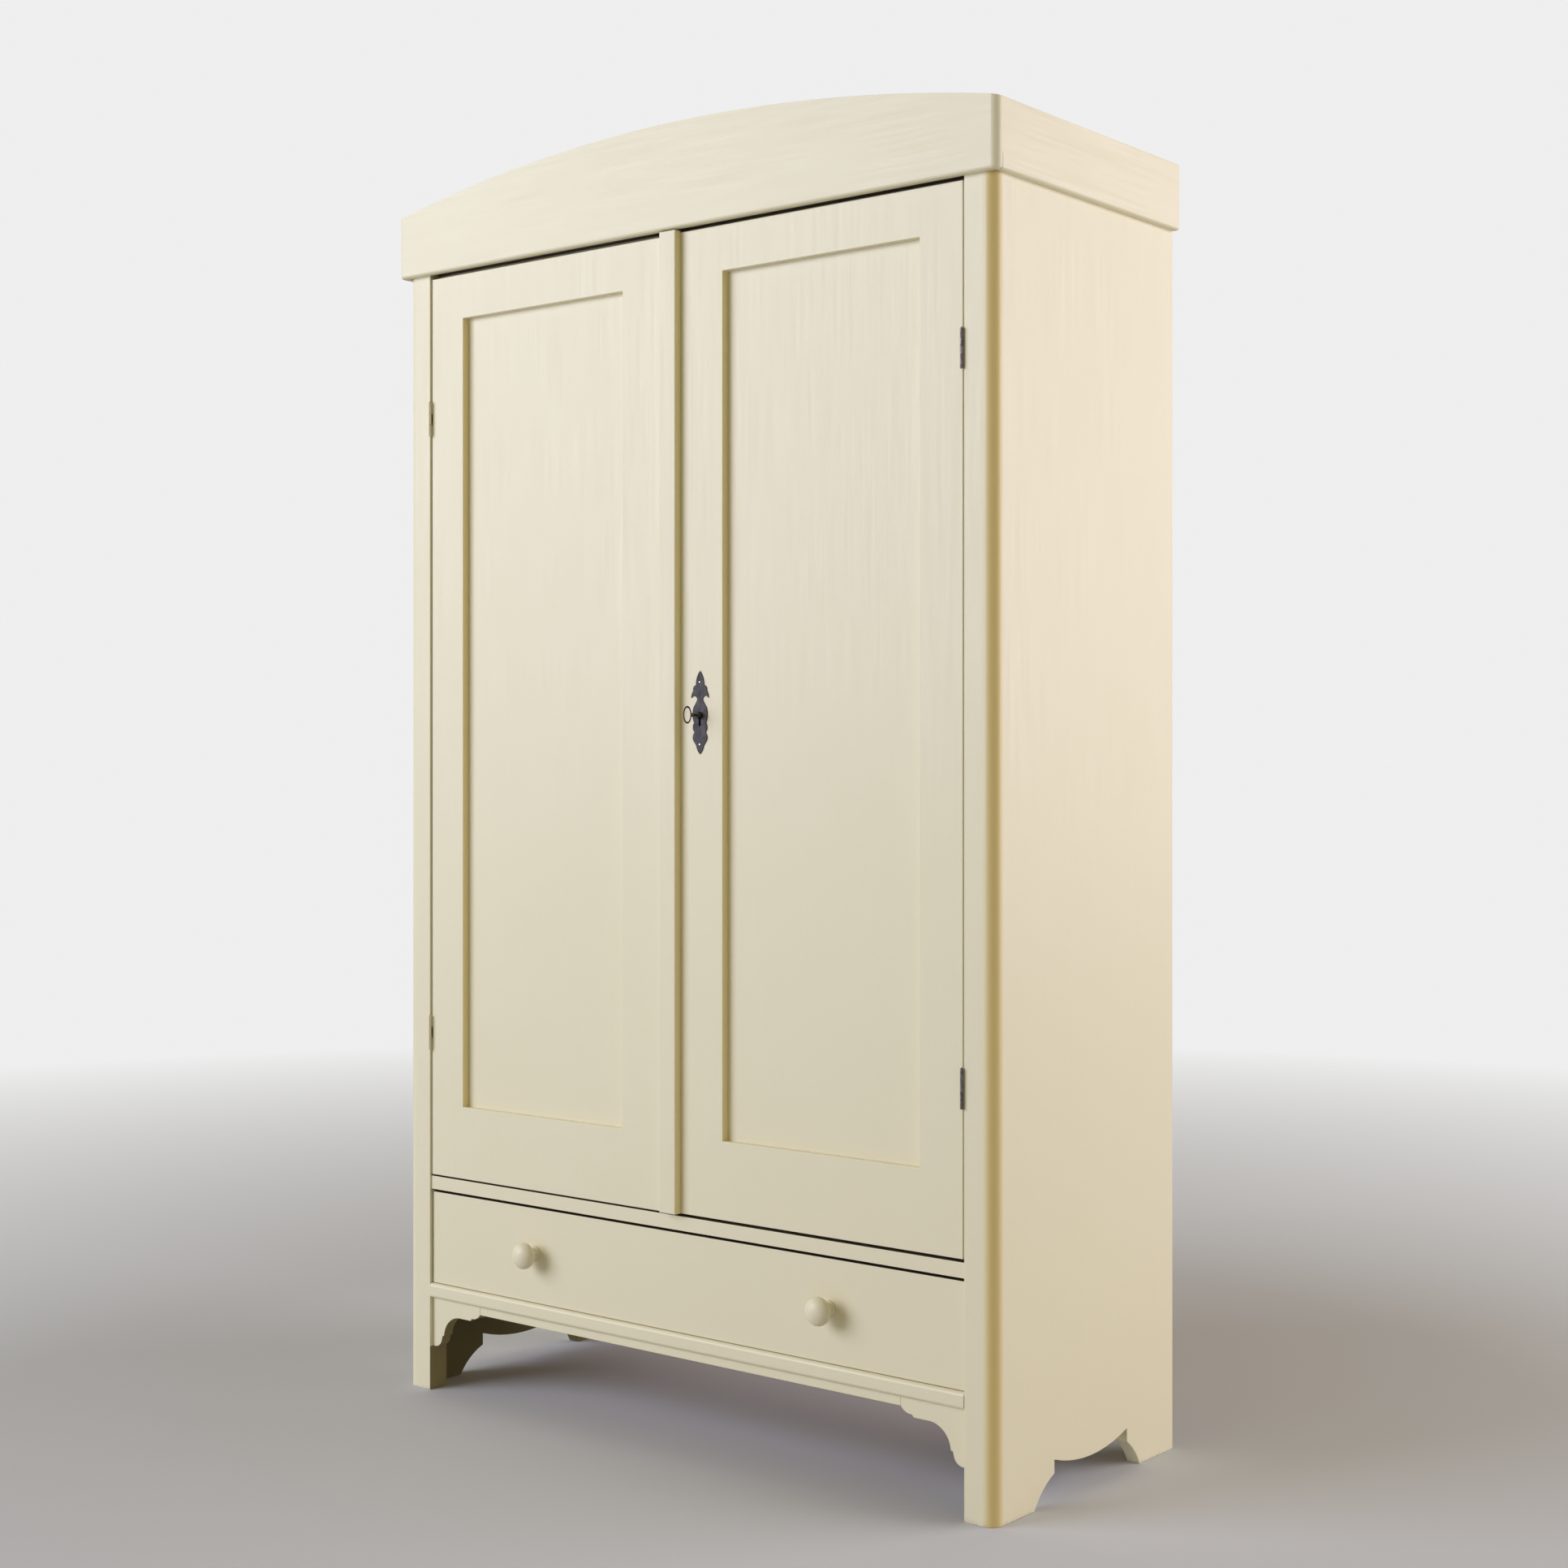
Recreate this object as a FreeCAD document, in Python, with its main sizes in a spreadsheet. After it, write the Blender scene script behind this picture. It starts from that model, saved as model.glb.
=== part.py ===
import FreeCAD, Part

import math
import os
import re

import Sketcher

# Painted linen cupboard: two panelled doors over one drawer, an arched cornice
# and scalloped side boards that form the feet. Millimetres, +Z up, front to -Y,
# origin on the floor below the middle of the whole object.

os.makedirs("parts", exist_ok=True)
doc = FreeCAD.newDocument("LinenCupboard")

# Driving sizes, each written once.
SIZES = {
    # Carcase: posts, side boards and back
    "body_width": 1090,
    "body_depth": 447,
    "post_width": 48,
    "post_depth": 34,
    "corner_radius": 16,
    "side_thickness": 20,
    "back_thickness": 12,
    "back_inset": 2,
    "back_tongue": 6,
    "back_tongue_thickness": 4,
    "back_bevel": 2,
    # Scalloped lower edge of the side boards, from the front face
    "foot_depth": 91,
    "foot_shoulder_height": 38,
    "front_shoulder_reach": 48,
    "rear_shoulder_reach": 34,
    "foot_curve_radius": 95,
    "foot_step": 18,
    "lobe_drop": 15,
    # Cornice
    "cornice_drop": 2.5,
    "cornice_cover": 71.5,
    "cornice_end_height": 91.5,
    "arch_rise": 56.5,
    "cornice_front_thickness": 12,
    "cornice_side_thickness": 11,
    "cornice_end_radius": 11,
    "cornice_lip_radius": 4,
    "glue_block": 32,
    "glue_block_spacing": 330,
    # Door opening: rails above and below, cupboard floor and top board
    "door_stop_overlap": 12,
    "door_stop_gap": 0.5,
    "top_board_thickness": 20,
    "mid_rail_height": 20.5,
    "mid_rail_recess": 3,
    "mid_stop_height": 11.5,
    "shelf_thickness": 18,
    "shelf_setback": 12,
    "batten_height": 30,
    "batten_thickness": 20,
    # Doors
    "door_thickness": 20,
    "door_recess": 2,
    "door_lower_gap": 4,
    "door_upper_gap": 5,
    "door_height": 1377.5,
    "left_door_drop": 1.5,
    "door_side_gap": 3,
    "meeting_gap": 2,
    "hinge_stile_width": 68,
    "left_meeting_stile_width": 79,
    "right_meeting_stile_width": 107.5,
    "left_top_rail_width": 69,
    "right_top_rail_width": 65.5,
    "bottom_rail_width": 109,
    "panel_recess": 11.5,
    "panel_thickness": 5,
    "panel_tongue": 8,
    "tenon_length": 40,
    "tenon_shoulder": 14,
    "strip_left_reach": 15.5,
    "strip_width": 30.5,
    "strip_thickness": 12,
    "strip_edge_radius": 2,
    # Butt hinges, knuckle standing in front of the gap
    "hinge_height": 52,
    "hinge_top_inset": 191,
    "hinge_bottom_inset": 192,
    "hinge_leaf_width": 21,
    "hinge_leaf_thickness": 1.4,
    "knuckle_radius": 2.2,
    "knuckle_forward": 2.6,
    "knuckle_gap": 0.2,
    "hinge_pin_radius": 1.1,
    "hinge_pin_play": 0.05,
    "hinge_pin_reach": 1.5,
    # Lock on the right door, its keyhole plate, key, bolt and keeper
    "keyhole_offset": 67,
    "keyhole_rise": 698.5,
    "keyhole_radius": 3.6,
    "keyhole_slot_width": 3.6,
    "keyhole_slot_drop": 15,
    "plate_height": 116,
    "plate_half_width": 15.7,
    "plate_thickness": 1.5,
    "plate_bottom_drop": 54.5,
    "pin_head_radius": 2.4,
    "pin_head_height": 1.4,
    "lock_width": 88,
    "lock_height": 60,
    "lock_depth": 14.5,
    "lock_wall": 1.5,
    "lock_edge_inset": 2,
    "bolt_height": 22,
    "bolt_thickness": 3,
    "bolt_length": 62,
    "bolt_play": 0.3,
    "bolt_rear_gap": 0.4,
    "key_shank_radius": 3,
    "key_shank_reach": 19,
    "key_bow_height": 24,
    "key_bow_length": 17,
    "key_bow_wire": 3,
    "key_collar_radius": 4.2,
    "key_collar_length": 4,
    "key_bit_length": 5,
    "key_bit_reach": 14,
    "key_bit_thickness": 2.4,
    "key_end_gap": 0.6,
    "keeper_width": 24,
    "keeper_height": 36,
    "keeper_edge_inset": 1,
    # Bolts inside the left door
    "slide_bolt_width": 9,
    "slide_bolt_thickness": 4,
    "slide_bolt_length": 90,
    "slide_bolt_travel": 14,
    "slide_bolt_play": 0.3,
    "slide_bolt_end_gap": 3,
    "slide_guide_height": 40,
    "slide_guide_wall": 1.5,
    "slide_guide_flange": 9,
    "slide_stud_radius": 3,
    "slide_stud_height": 5,
    # Drawer, its opening and its runners
    "moulding_height": 22.5,
    "moulding_bottom": 142,
    "moulding_proud": 1,
    "moulding_radius": 8,
    "drawer_opening_height": 144.5,
    "drawer_recess": 5,
    "drawer_front_thickness": 20,
    "drawer_end_gap": 2.5,
    "drawer_lower_gap": 1,
    "drawer_upper_gap": 2.5,
    "drawer_seat_gap": 0.3,
    "drawer_rear_gap": 6,
    "drawer_side_thickness": 12,
    "drawer_side_height": 131,
    "drawer_bottom_thickness": 6,
    "drawer_bottom_lift": 8,
    "drawer_groove_depth": 5,
    "dovetail_length": 14,
    "dovetail_width": 24,
    "dovetail_flare": 3,
    "runner_width": 56,
    "runner_thickness": 16,
    "guide_gap": 1,
    "guide_height": 20,
    "rear_rail_height": 60,
    "rear_rail_thickness": 22,
    # Turned drawer knobs
    "knob_spacing": 551,
    "knob_rise": 74,
    "knob_radius": 20,
    "knob_reach": 42,
    "knob_neck_radius": 8.5,
    "knob_foot_radius": 11.5,
    "knob_foot_height": 3,
    "knob_dowel_radius": 6,
    "knob_dowel_length": 18,
    "knob_dowel_play": 0.1,
    # Apron under the moulding and its two brackets
    "apron_height": 13,
    "apron_setback": 6,
    "apron_thickness": 18,
    "bracket_width": 104,
    "bracket_height": 75,
    # One overrun for every cut, and the nearness that finds an edge
    "overrun": 2,
    "nearness": 0.01,
}
BACK_BOARD_COUNT = 4
SHELF_COUNT = 3
GLUE_BLOCK_COUNT = 3
DOVETAIL_COUNT = 3
KNUCKLE_COUNT = 3

# How far the glue blocks narrow toward their upper end.
GLUE_BLOCK_TIP_SHARE = 0.2

# Places worked out from the sizes; each stands for its formula.
PLACES = {
    "front": "((knob_reach - drawer_recess - body_depth) / 2)",
    "back": "(front + body_depth)",
    "side_inner": "(body_width / 2 - side_thickness)",
    "post_inner": "(body_width / 2 - post_width)",
    "post_back": "(front + post_depth)",
    "back_face": "(back - back_inset - back_thickness)",
    "moulding_top": "(moulding_bottom + moulding_height)",
    "mid_rail_bottom": "(moulding_top + drawer_opening_height)",
    "floor_top": "(mid_rail_bottom + mid_rail_height)",
    "door_bottom": "(floor_top + door_lower_gap)",
    "top_rail_bottom": "(door_bottom + door_height + door_upper_gap)",
    "cornice_bottom": "(top_rail_bottom - cornice_drop)",
    "carcase_height": "(cornice_bottom + cornice_cover)",
    "keyhole_height": "(door_bottom + keyhole_rise)",
    "knob_height": "(moulding_top + knob_rise)",
    "cornice_half": "(body_width / 2 + cornice_side_thickness)",
    "cornice_end_top": "(cornice_bottom + cornice_end_height)",
    "door_face": "(front + door_recess)",
    "door_back": "(door_face + door_thickness)",
    "stop_face": "(door_back + door_stop_gap)",
    "stop_bottom": "(top_rail_bottom - door_stop_overlap - left_door_drop - door_stop_gap * 2)",
    "mid_stop_top": "(floor_top + mid_stop_height)",
    "top_board_bottom": "(carcase_height - top_board_thickness)",
    "door_outer": "(post_inner - door_side_gap)",
    "meeting_right": "(-strip_left_reach)",
    "meeting_left": "(-strip_left_reach - meeting_gap)",
    "hinge_x": "(post_inner - door_side_gap / 2)",
    "hinge_y": "(front - knuckle_forward)",
    "keyhole_x": "(meeting_right + keyhole_offset)",
    "lock_left": "(meeting_right + lock_edge_inset)",
    "bolt_back": "(door_back + lock_depth - lock_wall - bolt_rear_gap)",
    "bolt_front": "(bolt_back - bolt_thickness)",
    "slide_x": "(meeting_left - left_meeting_stile_width / 2)",
    "slide_front": "(door_back + slide_guide_wall + slide_bolt_play)",
    "slide_back": "(slide_front + slide_bolt_thickness)",
    "drawer_front_face": "(front + drawer_recess)",
    "drawer_front_back": "(drawer_front_face + drawer_front_thickness)",
    "drawer_half": "(post_inner - drawer_end_gap)",
    "drawer_seat": "(moulding_top + drawer_seat_gap)",
    "rear_rail_face": "(back_face - rear_rail_thickness)",
    "drawer_rear": "(rear_rail_face - drawer_rear_gap)",
    "drawer_length": "(drawer_rear - drawer_front_face)",
}

sheet = doc.addObject("Spreadsheet::Sheet", "Sizes")
for row, (alias, size) in enumerate(SIZES.items(), start=1):
    sheet.set("A%d" % row, alias)
    sheet.set("B%d" % row, str(size))
    sheet.setAlias("B%d" % row, alias)
doc.recompute()

WORD = re.compile(r"[a-z_]+")
PIECES = {}


def expand(formula):
    """Writes a formula out until only cells of the sheet are left."""
    def replace(match):
        word = match.group(0)
        if word in PLACES:
            return expand(PLACES[word])
        return "Sizes." + word if word in SIZES else word
    return WORD.sub(replace, formula)


def number(formula):
    """The value of a formula in millimetres."""
    return float(sheet.evalExpression(expand(formula)))


def bind(thing, **properties):
    """Binds properties of an object to formulas."""
    for name, formula in properties.items():
        thing.setExpression(name, expand(formula))
    return thing


def place(thing, x="0", y="0", z="0"):
    """Puts an object's own origin at three formulas."""
    thing.setExpression("Placement.Base.x", expand(x))
    thing.setExpression("Placement.Base.y", expand(y))
    thing.setExpression("Placement.Base.z", expand(z))
    return thing


def keep(name, thing):
    """Names a finished sub-part."""
    thing.Label = name
    PIECES[name] = thing
    return thing


def box(x, y, z):
    """A block between three pairs of formulas."""
    block = doc.addObject("Part::Box", "Block")
    bind(block, Length="%s - (%s)" % (x[1], x[0]), Width="%s - (%s)" % (y[1], y[0]),
         Height="%s - (%s)" % (z[1], z[0]))
    return place(block, x[0], y[0], z[0])


def rod(radius, x, y, z, axis="z"):
    """A cylinder; the coordinate along its axis is a pair of formulas."""
    along = {"x": x, "y": y, "z": z}[axis]
    cylinder = doc.addObject("Part::Cylinder", "Rod")
    bind(cylinder, Radius=radius, Height="%s - (%s)" % (along[1], along[0]))
    if axis == "x":
        cylinder.Placement.Rotation = FreeCAD.Rotation(FreeCAD.Vector(0, 1, 0), 90)
    if axis == "y":
        cylinder.Placement.Rotation = FreeCAD.Rotation(FreeCAD.Vector(1, 0, 0), -90)
    start = [formula if axis != name else formula[0] for name, formula in zip("xyz", (x, y, z))]
    return place(cylinder, *start)


def fuse(things):
    """Several shapes joined to one."""
    joined = doc.addObject("Part::MultiFuse", "Joined")
    joined.Shapes = things
    return joined


def cut(base, tools):
    """A shape less one or more others."""
    result = doc.addObject("Part::Cut", "Trimmed")
    result.Base = base
    result.Tool = tools[0] if len(tools) == 1 else fuse(tools)
    return result


def group(things):
    """Separate solids kept as one sub-part."""
    together = doc.addObject("Part::Compound", "Together")
    together.Links = things
    return together


def arc(radius, turn):
    """Marks a round stretch of an outline; turn is 1 to the left, -1 to the right."""
    return ("arc", radius, turn)


def bend(size, share):
    """A round stretch whose radius is a share of a size; the share's sign is its turn."""
    return arc("%s * %s" % (size, abs(share)), 1 if share > 0 else -1)


def mirrored(outline):
    """The same outline on the other side of its upright axis."""
    result = []
    for item in outline:
        if item[0] == "arc":
            result.append(("arc", item[1], -item[2]))
        else:
            result.append(("-(%s)" % item[0], item[1]))
    return result


def draw(sketch, outline):
    """Draws a closed outline of points and arcs, every size tied to a formula."""
    points = [item for item in outline if item[0] != "arc"]
    arcs = {}
    for position, item in enumerate(outline):
        if item[0] == "arc":
            arcs[sum(1 for other in outline[:position] if other[0] != "arc") - 1] = item
    places = [FreeCAD.Vector(number(u), number(v), 0) for u, v in points]
    ends = []
    for index, start in enumerate(places):
        end = places[(index + 1) % len(places)]
        if index not in arcs:
            edge = sketch.addGeometry(Part.LineSegment(start, end), False)
            ends.append((edge, 1, 2))
            continue
        _, radius, turn = arcs[index]
        chord = end - start
        half = chord.Length / 2
        rise = math.sqrt(max(number(radius) ** 2 - half ** 2, 0))
        side = FreeCAD.Vector(-chord.y, chord.x, 0).normalize() * turn
        centre = start + chord * 0.5 + side * rise
        first, last = (start, end) if turn > 0 else (end, start)
        angles = [math.atan2(point.y - centre.y, point.x - centre.x) for point in (first, last)]
        circle = Part.Circle(centre, FreeCAD.Vector(0, 0, 1), number(radius))
        edge = sketch.addGeometry(Part.ArcOfCircle(circle, *angles), False)
        ends.append((edge, 1, 2) if turn > 0 else (edge, 2, 1))
        tie(sketch, Sketcher.Constraint("Radius", edge, number(radius)), radius)
    for index, (edge, first, last) in enumerate(ends):
        following, following_first, _ = ends[(index + 1) % len(ends)]
        sketch.addConstraint(Sketcher.Constraint("Coincident", edge, last, following, following_first))
        u, v = points[index]
        tie(sketch, Sketcher.Constraint("DistanceX", -1, 1, edge, first, places[index].x), u)
        tie(sketch, Sketcher.Constraint("DistanceY", -1, 1, edge, first, places[index].y), v)


def draw_circle(sketch, u, v, radius):
    """Draws a circle tied to formulas."""
    centre = FreeCAD.Vector(number(u), number(v), 0)
    edge = sketch.addGeometry(Part.Circle(centre, FreeCAD.Vector(0, 0, 1), number(radius)), False)
    tie(sketch, Sketcher.Constraint("Radius", edge, number(radius)), radius)
    tie(sketch, Sketcher.Constraint("DistanceX", -1, 1, edge, 3, centre.x), u)
    tie(sketch, Sketcher.Constraint("DistanceY", -1, 1, edge, 3, centre.y), v)


def tie(sketch, constraint, formula):
    """Adds a constraint whose value follows a formula."""
    index = sketch.addConstraint(constraint)
    sketch.renameConstraint(index, "size_%d" % index)
    sketch.setExpression("Constraints.size_%d" % index, expand(formula))


def sketch_on(body, role):
    """An empty sketch on one of a body's own origin planes."""
    sketch = body.newObject("Sketcher::SketchObject", "Outline")
    planes = [item for item in body.Origin.OriginFeatures if item.Role == role]
    sketch.AttachmentSupport = [(planes[0], "")]
    sketch.MapMode = "FlatFace"
    return sketch


def pad(body, role, outlines, length, reverse=False, middle=False):
    """Adds material: outlines on a plane, drawn out by a length."""
    sketch = sketch_on(body, role)
    for outline in outlines:
        draw(sketch, outline)
    feature = body.newObject("PartDesign::Pad", "Pad")
    feature.Profile = sketch
    feature.Reversed = reverse
    feature.Midplane = middle
    return bind(feature, Length=length)


def new_body(name, x="0", y="0", z="0"):
    """An empty body that becomes the named sub-part."""
    body = doc.addObject("PartDesign::Body", "Body")
    return keep(name, place(body, x, y, z))


def rounded(body, radius, test):
    """Rounds those edges of a body's last feature that a test picks."""
    doc.recompute()
    last = body.Tip
    names = ["Edge%d" % (index + 1) for index, edge in enumerate(last.Shape.Edges) if test(edge)]
    feature = body.newObject("PartDesign::Fillet", "Rounding")
    feature.Base = (last, names)
    return bind(feature, Radius=radius)


def near(value, formula):
    """Whether a coordinate lies at a formula's value."""
    return abs(value - number(formula)) < number("nearness")


def rectangle(u, v):
    """A rectangular outline between two pairs of formulas."""
    return [(u[0], v[0]), (u[1], v[0]), (u[1], v[1]), (u[0], v[1])]


# Front posts: square inside, one rounded corner that runs from cornice to floor.
def make_posts():
    outline = [
        ("post_inner", "0"),
        ("body_width / 2 - corner_radius", "0"),
        arc("corner_radius", 1),
        ("body_width / 2", "corner_radius"),
        ("body_width / 2", "post_depth"),
        ("post_inner", "post_depth"),
    ]
    for name, shape in (("post_right", outline), ("post_left", mirrored(outline))):
        body = new_body(name, y="front")
        pad(body, "XY_Plane", [shape], "carcase_height")


# Side boards: one wide board each, its lower edge sawn to two feet and a lobe.
def make_side_boards():
    shoulder_top = "foot_shoulder_height + foot_step"
    front_step = "foot_depth + front_shoulder_reach"
    rear_foot = "body_depth - foot_depth"
    rear_step = "body_depth - foot_depth - rear_shoulder_reach"
    lobe_half = "((%s - (%s)) / 2)" % (rear_step, front_step)
    lobe_radius = "((%s * %s + lobe_drop * lobe_drop) / (2 * lobe_drop))" % (lobe_half, lobe_half)
    outline = [
        ("post_depth", "0"),
        ("foot_depth", "0"),
        arc("foot_curve_radius", -1),
        (front_step, "foot_shoulder_height"),
        (front_step, shoulder_top),
        arc(lobe_radius, 1),
        (rear_step, shoulder_top),
        (rear_step, "foot_shoulder_height"),
        arc("foot_curve_radius", -1),
        (rear_foot, "0"),
        ("body_depth", "0"),
        ("body_depth", "carcase_height"),
        ("post_depth", "carcase_height"),
    ]
    for name, left in (("side_board_left", "-body_width / 2"), ("side_board_right", "side_inner")):
        body = new_body(name, x=left, y="front")
        pad(body, "YZ_Plane", [outline], "side_thickness")


# Back: upright boards that meet in tongue and groove with a bevelled edge.
def make_back_boards():
    pitch = "(side_inner * 2 / %d)" % BACK_BOARD_COUNT
    middle = "(back_thickness / 2)"
    half_tongue = "(back_tongue_thickness / 2)"
    for index in range(BACK_BOARD_COUNT):
        outline = [("0", "0"), (pitch, "0")]
        if index < BACK_BOARD_COUNT - 1:
            outline += [
                (pitch, "%s - %s" % (middle, half_tongue)),
                ("%s + back_tongue" % pitch, "%s - %s" % (middle, half_tongue)),
                ("%s + back_tongue" % pitch, "%s + %s" % (middle, half_tongue)),
                (pitch, "%s + %s" % (middle, half_tongue)),
            ]
        outline += [
            (pitch, "back_thickness - back_bevel"),
            ("%s - back_bevel" % pitch, "back_thickness"),
            ("back_bevel", "back_thickness"),
            ("0", "back_thickness - back_bevel"),
        ]
        if index > 0:
            outline += [
                ("0", "%s + %s" % (middle, half_tongue)),
                ("back_tongue", "%s + %s" % (middle, half_tongue)),
                ("back_tongue", "%s - %s" % (middle, half_tongue)),
                ("0", "%s - %s" % (middle, half_tongue)),
            ]
        left = "-side_inner + %d * %s" % (index, pitch)
        body = new_body("back_board_%d" % (index + 1), left, "back_face", "moulding_bottom")
        pad(body, "XY_Plane", [outline], "carcase_height - moulding_bottom")


# Rails between the posts: each is stepped, so that its rear lip stops the doors.
def make_rails():
    lip = "stop_face - front"
    header = new_body("top_rail", "-post_inner", "front")
    pad(header, "YZ_Plane", [[
        ("0", "top_rail_bottom"),
        (lip, "top_rail_bottom"),
        (lip, "stop_bottom"),
        ("post_depth", "stop_bottom"),
        ("post_depth", "carcase_height"),
        ("0", "carcase_height"),
    ]], "post_inner * 2")
    pocket_for_slide_bolt(header, "stop_bottom", upward=True)
    middle = new_body("mid_rail", "-post_inner", "front")
    pad(middle, "YZ_Plane", [[
        ("mid_rail_recess", "mid_rail_bottom"),
        ("post_depth", "mid_rail_bottom"),
        ("post_depth", "mid_stop_top"),
        (lip, "mid_stop_top"),
        (lip, "floor_top"),
        ("mid_rail_recess", "floor_top"),
    ]], "post_inner * 2")
    pocket_for_slide_bolt(middle, "mid_stop_top", upward=False)


def pocket_for_slide_bolt(rail, level, upward):
    """Cuts the socket of an inner bolt of the left door into a rail's lip."""
    doc.recompute()
    before = rail.Shape.Volume
    sketch = sketch_on(rail, "XY_Plane")
    sketch.setExpression("AttachmentOffset.Base.z", expand(level))
    centre = "(post_inner + slide_x)"
    half = "(slide_bolt_width / 2 + slide_bolt_play)"
    draw(sketch, rectangle(
        ("%s - %s" % (centre, half), "%s + %s" % (centre, half)),
        ("slide_front - slide_bolt_play - front", "slide_back + slide_bolt_play - front")))
    feature = rail.newObject("PartDesign::Pocket", "Socket")
    feature.Profile = sketch
    feature.Reversed = upward
    bind(feature, Length="slide_bolt_travel + slide_bolt_play")
    doc.recompute()
    assert rail.Shape.Volume < before


# Level boards: top, cupboard floor, shelves on battens, and the rear rail.
def make_level_boards():
    across = ("-side_inner", "side_inner")
    deep = ("post_back", "back_face")
    keep("top_board", box(across, deep, ("top_board_bottom", "carcase_height")))
    keep("floor_board", box(across, deep, ("mid_rail_bottom", "floor_top")))
    keep("rear_rail", box(across, ("rear_rail_face", "back_face"),
                          ("moulding_bottom", "moulding_bottom + rear_rail_height")))
    clear = "((top_board_bottom - floor_top - %d * shelf_thickness) / %d)" % (SHELF_COUNT, SHELF_COUNT + 1)
    shelf_front = "post_back + shelf_setback"
    battens = []
    for index in range(1, SHELF_COUNT + 1):
        bottom = "(floor_top + %d * %s + %d * shelf_thickness)" % (index, clear, index - 1)
        keep("shelf_%d" % index, box(across, (shelf_front, "back_face"),
                                     (bottom, "%s + shelf_thickness" % bottom)))
        level = ("%s - batten_height" % bottom, bottom)
        battens.append(box(("-side_inner", "batten_thickness - side_inner"),
                           (shelf_front, "back_face"), level))
        battens.append(box(("side_inner - batten_thickness", "side_inner"),
                           (shelf_front, "back_face"), level))
    keep("shelf_battens", group(battens))


# Cornice: an arched front board with rounded ends, planted on the posts, a plain
# board along each side, and blocks behind the arch.
def make_cornice():
    arch_radius = "((cornice_half * cornice_half + arch_rise * arch_rise) / (2 * arch_rise))"
    board = new_body("cornice_front", y="front")
    pad(board, "XZ_Plane", [[
        ("-cornice_half", "cornice_bottom"),
        ("cornice_half", "cornice_bottom"),
        ("cornice_half", "cornice_end_top"),
        arc(arch_radius, 1),
        ("-cornice_half", "cornice_end_top"),
    ]], "cornice_front_thickness")

    def upright_front_corner(edge):
        limits = edge.BoundBox
        return (near(limits.YMin, "-cornice_front_thickness")
                and near(limits.YMax, "-cornice_front_thickness")
                and near(limits.XMax - limits.XMin, "0"))

    def lower_front_edge(edge):
        limits = edge.BoundBox
        return (near(limits.YMax, "-cornice_front_thickness") and near(limits.ZMin, "cornice_bottom")
                and near(limits.ZMax, "cornice_bottom"))

    rounded(board, "cornice_end_radius", upright_front_corner)
    rounded(board, "cornice_lip_radius", lower_front_edge)
    for name, left in (("cornice_left", "-cornice_half"), ("cornice_right", "body_width / 2")):
        side = new_body(name, left, "front")
        outer = "0" if name == "cornice_left" else "cornice_side_thickness"
        pad(side, "YZ_Plane", [rectangle(("0", "body_depth"), ("cornice_bottom", "cornice_end_top"))],
            "cornice_side_thickness")

        def lower_outer_edge(edge, outer=outer):
            limits = edge.BoundBox
            return (near(limits.XMin, outer) and near(limits.XMax, outer)
                    and near(limits.ZMin, "cornice_bottom") and near(limits.ZMax, "cornice_bottom"))

        rounded(side, "cornice_lip_radius", lower_outer_edge)
    blocks = []
    for index in range(GLUE_BLOCK_COUNT):
        centre = "(%d * glue_block_spacing)" % (index - GLUE_BLOCK_COUNT // 2)
        block = doc.addObject("Part::Wedge", "GlueBlock")
        bind(block, Xmin="0", Xmax="glue_block", Zmin="0", Zmax="glue_block", X2min="0",
             X2max="glue_block", Z2min="0", Z2max="glue_block * %s" % GLUE_BLOCK_TIP_SHARE,
             Ymin="0", Ymax="glue_block")
        block.Placement.Rotation = FreeCAD.Rotation(FreeCAD.Vector(1, 0, 0), 90)
        blocks.append(block)
        place(block, "%s - glue_block / 2" % centre, "front + glue_block", "carcase_height")
    keep("glue_blocks", group(blocks))


# Framed doors: full-height stiles, rails tenoned between them, and a thin panel
# whose edge runs in a groove all round.
def make_door(side, inner, outer, meeting_width, top_width, bottom):
    """One door; inner and outer are its lower and higher X, given as formulas."""
    prefix = "door_" + side
    top = "(%s + door_height)" % bottom
    hinge_first = side == "left"
    left_width = "hinge_stile_width" if hinge_first else meeting_width
    right_width = meeting_width if hinge_first else "hinge_stile_width"
    names = ("hinge_stile", "meeting_stile") if hinge_first else ("meeting_stile", "hinge_stile")
    left_edge = "(%s + %s)" % (inner, left_width)
    right_edge = "(%s - %s)" % (outer, right_width)
    lower_edge = "(%s + bottom_rail_width)" % bottom
    upper_edge = "(%s - %s)" % (top, top_width)
    groove = ("door_face + panel_recess", "door_face + panel_recess + panel_thickness")
    thick = ("door_face", "door_back")
    panel_x = ("%s - panel_tongue" % left_edge, "%s + panel_tongue" % right_edge)
    panel_z = ("%s - panel_tongue" % lower_edge, "%s + panel_tongue" % upper_edge)
    slot = [panel_x, groove, panel_z]
    rails = {
        "bottom_rail": (bottom, lower_edge),
        "top_rail": (upper_edge, top),
    }

    def tenon(level):
        across = ("%s - tenon_length" % left_edge, "%s + tenon_length" % right_edge)
        return box(across, groove, ("%s + tenon_shoulder" % level[0], "%s - tenon_shoulder" % level[1]))

    whole = {
        names[0]: (inner, left_edge),
        names[1]: (right_edge, outer),
    }
    for name, across in whole.items():
        stile = box(across, thick, (bottom, top))
        tools = [box(*slot)] + [tenon(level) for level in rails.values()]
        if side == "right" and name == "meeting_stile":
            tools += keyhole_cut()
        keep("%s_%s" % (prefix, name), cut(stile, tools))
    for name, level in rails.items():
        rail = fuse([box((left_edge, right_edge), thick, level), tenon(level)])
        keep("%s_%s" % (prefix, name), cut(rail, [box(*slot)]))
    keep("%s_panel" % prefix, box(*slot))


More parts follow.
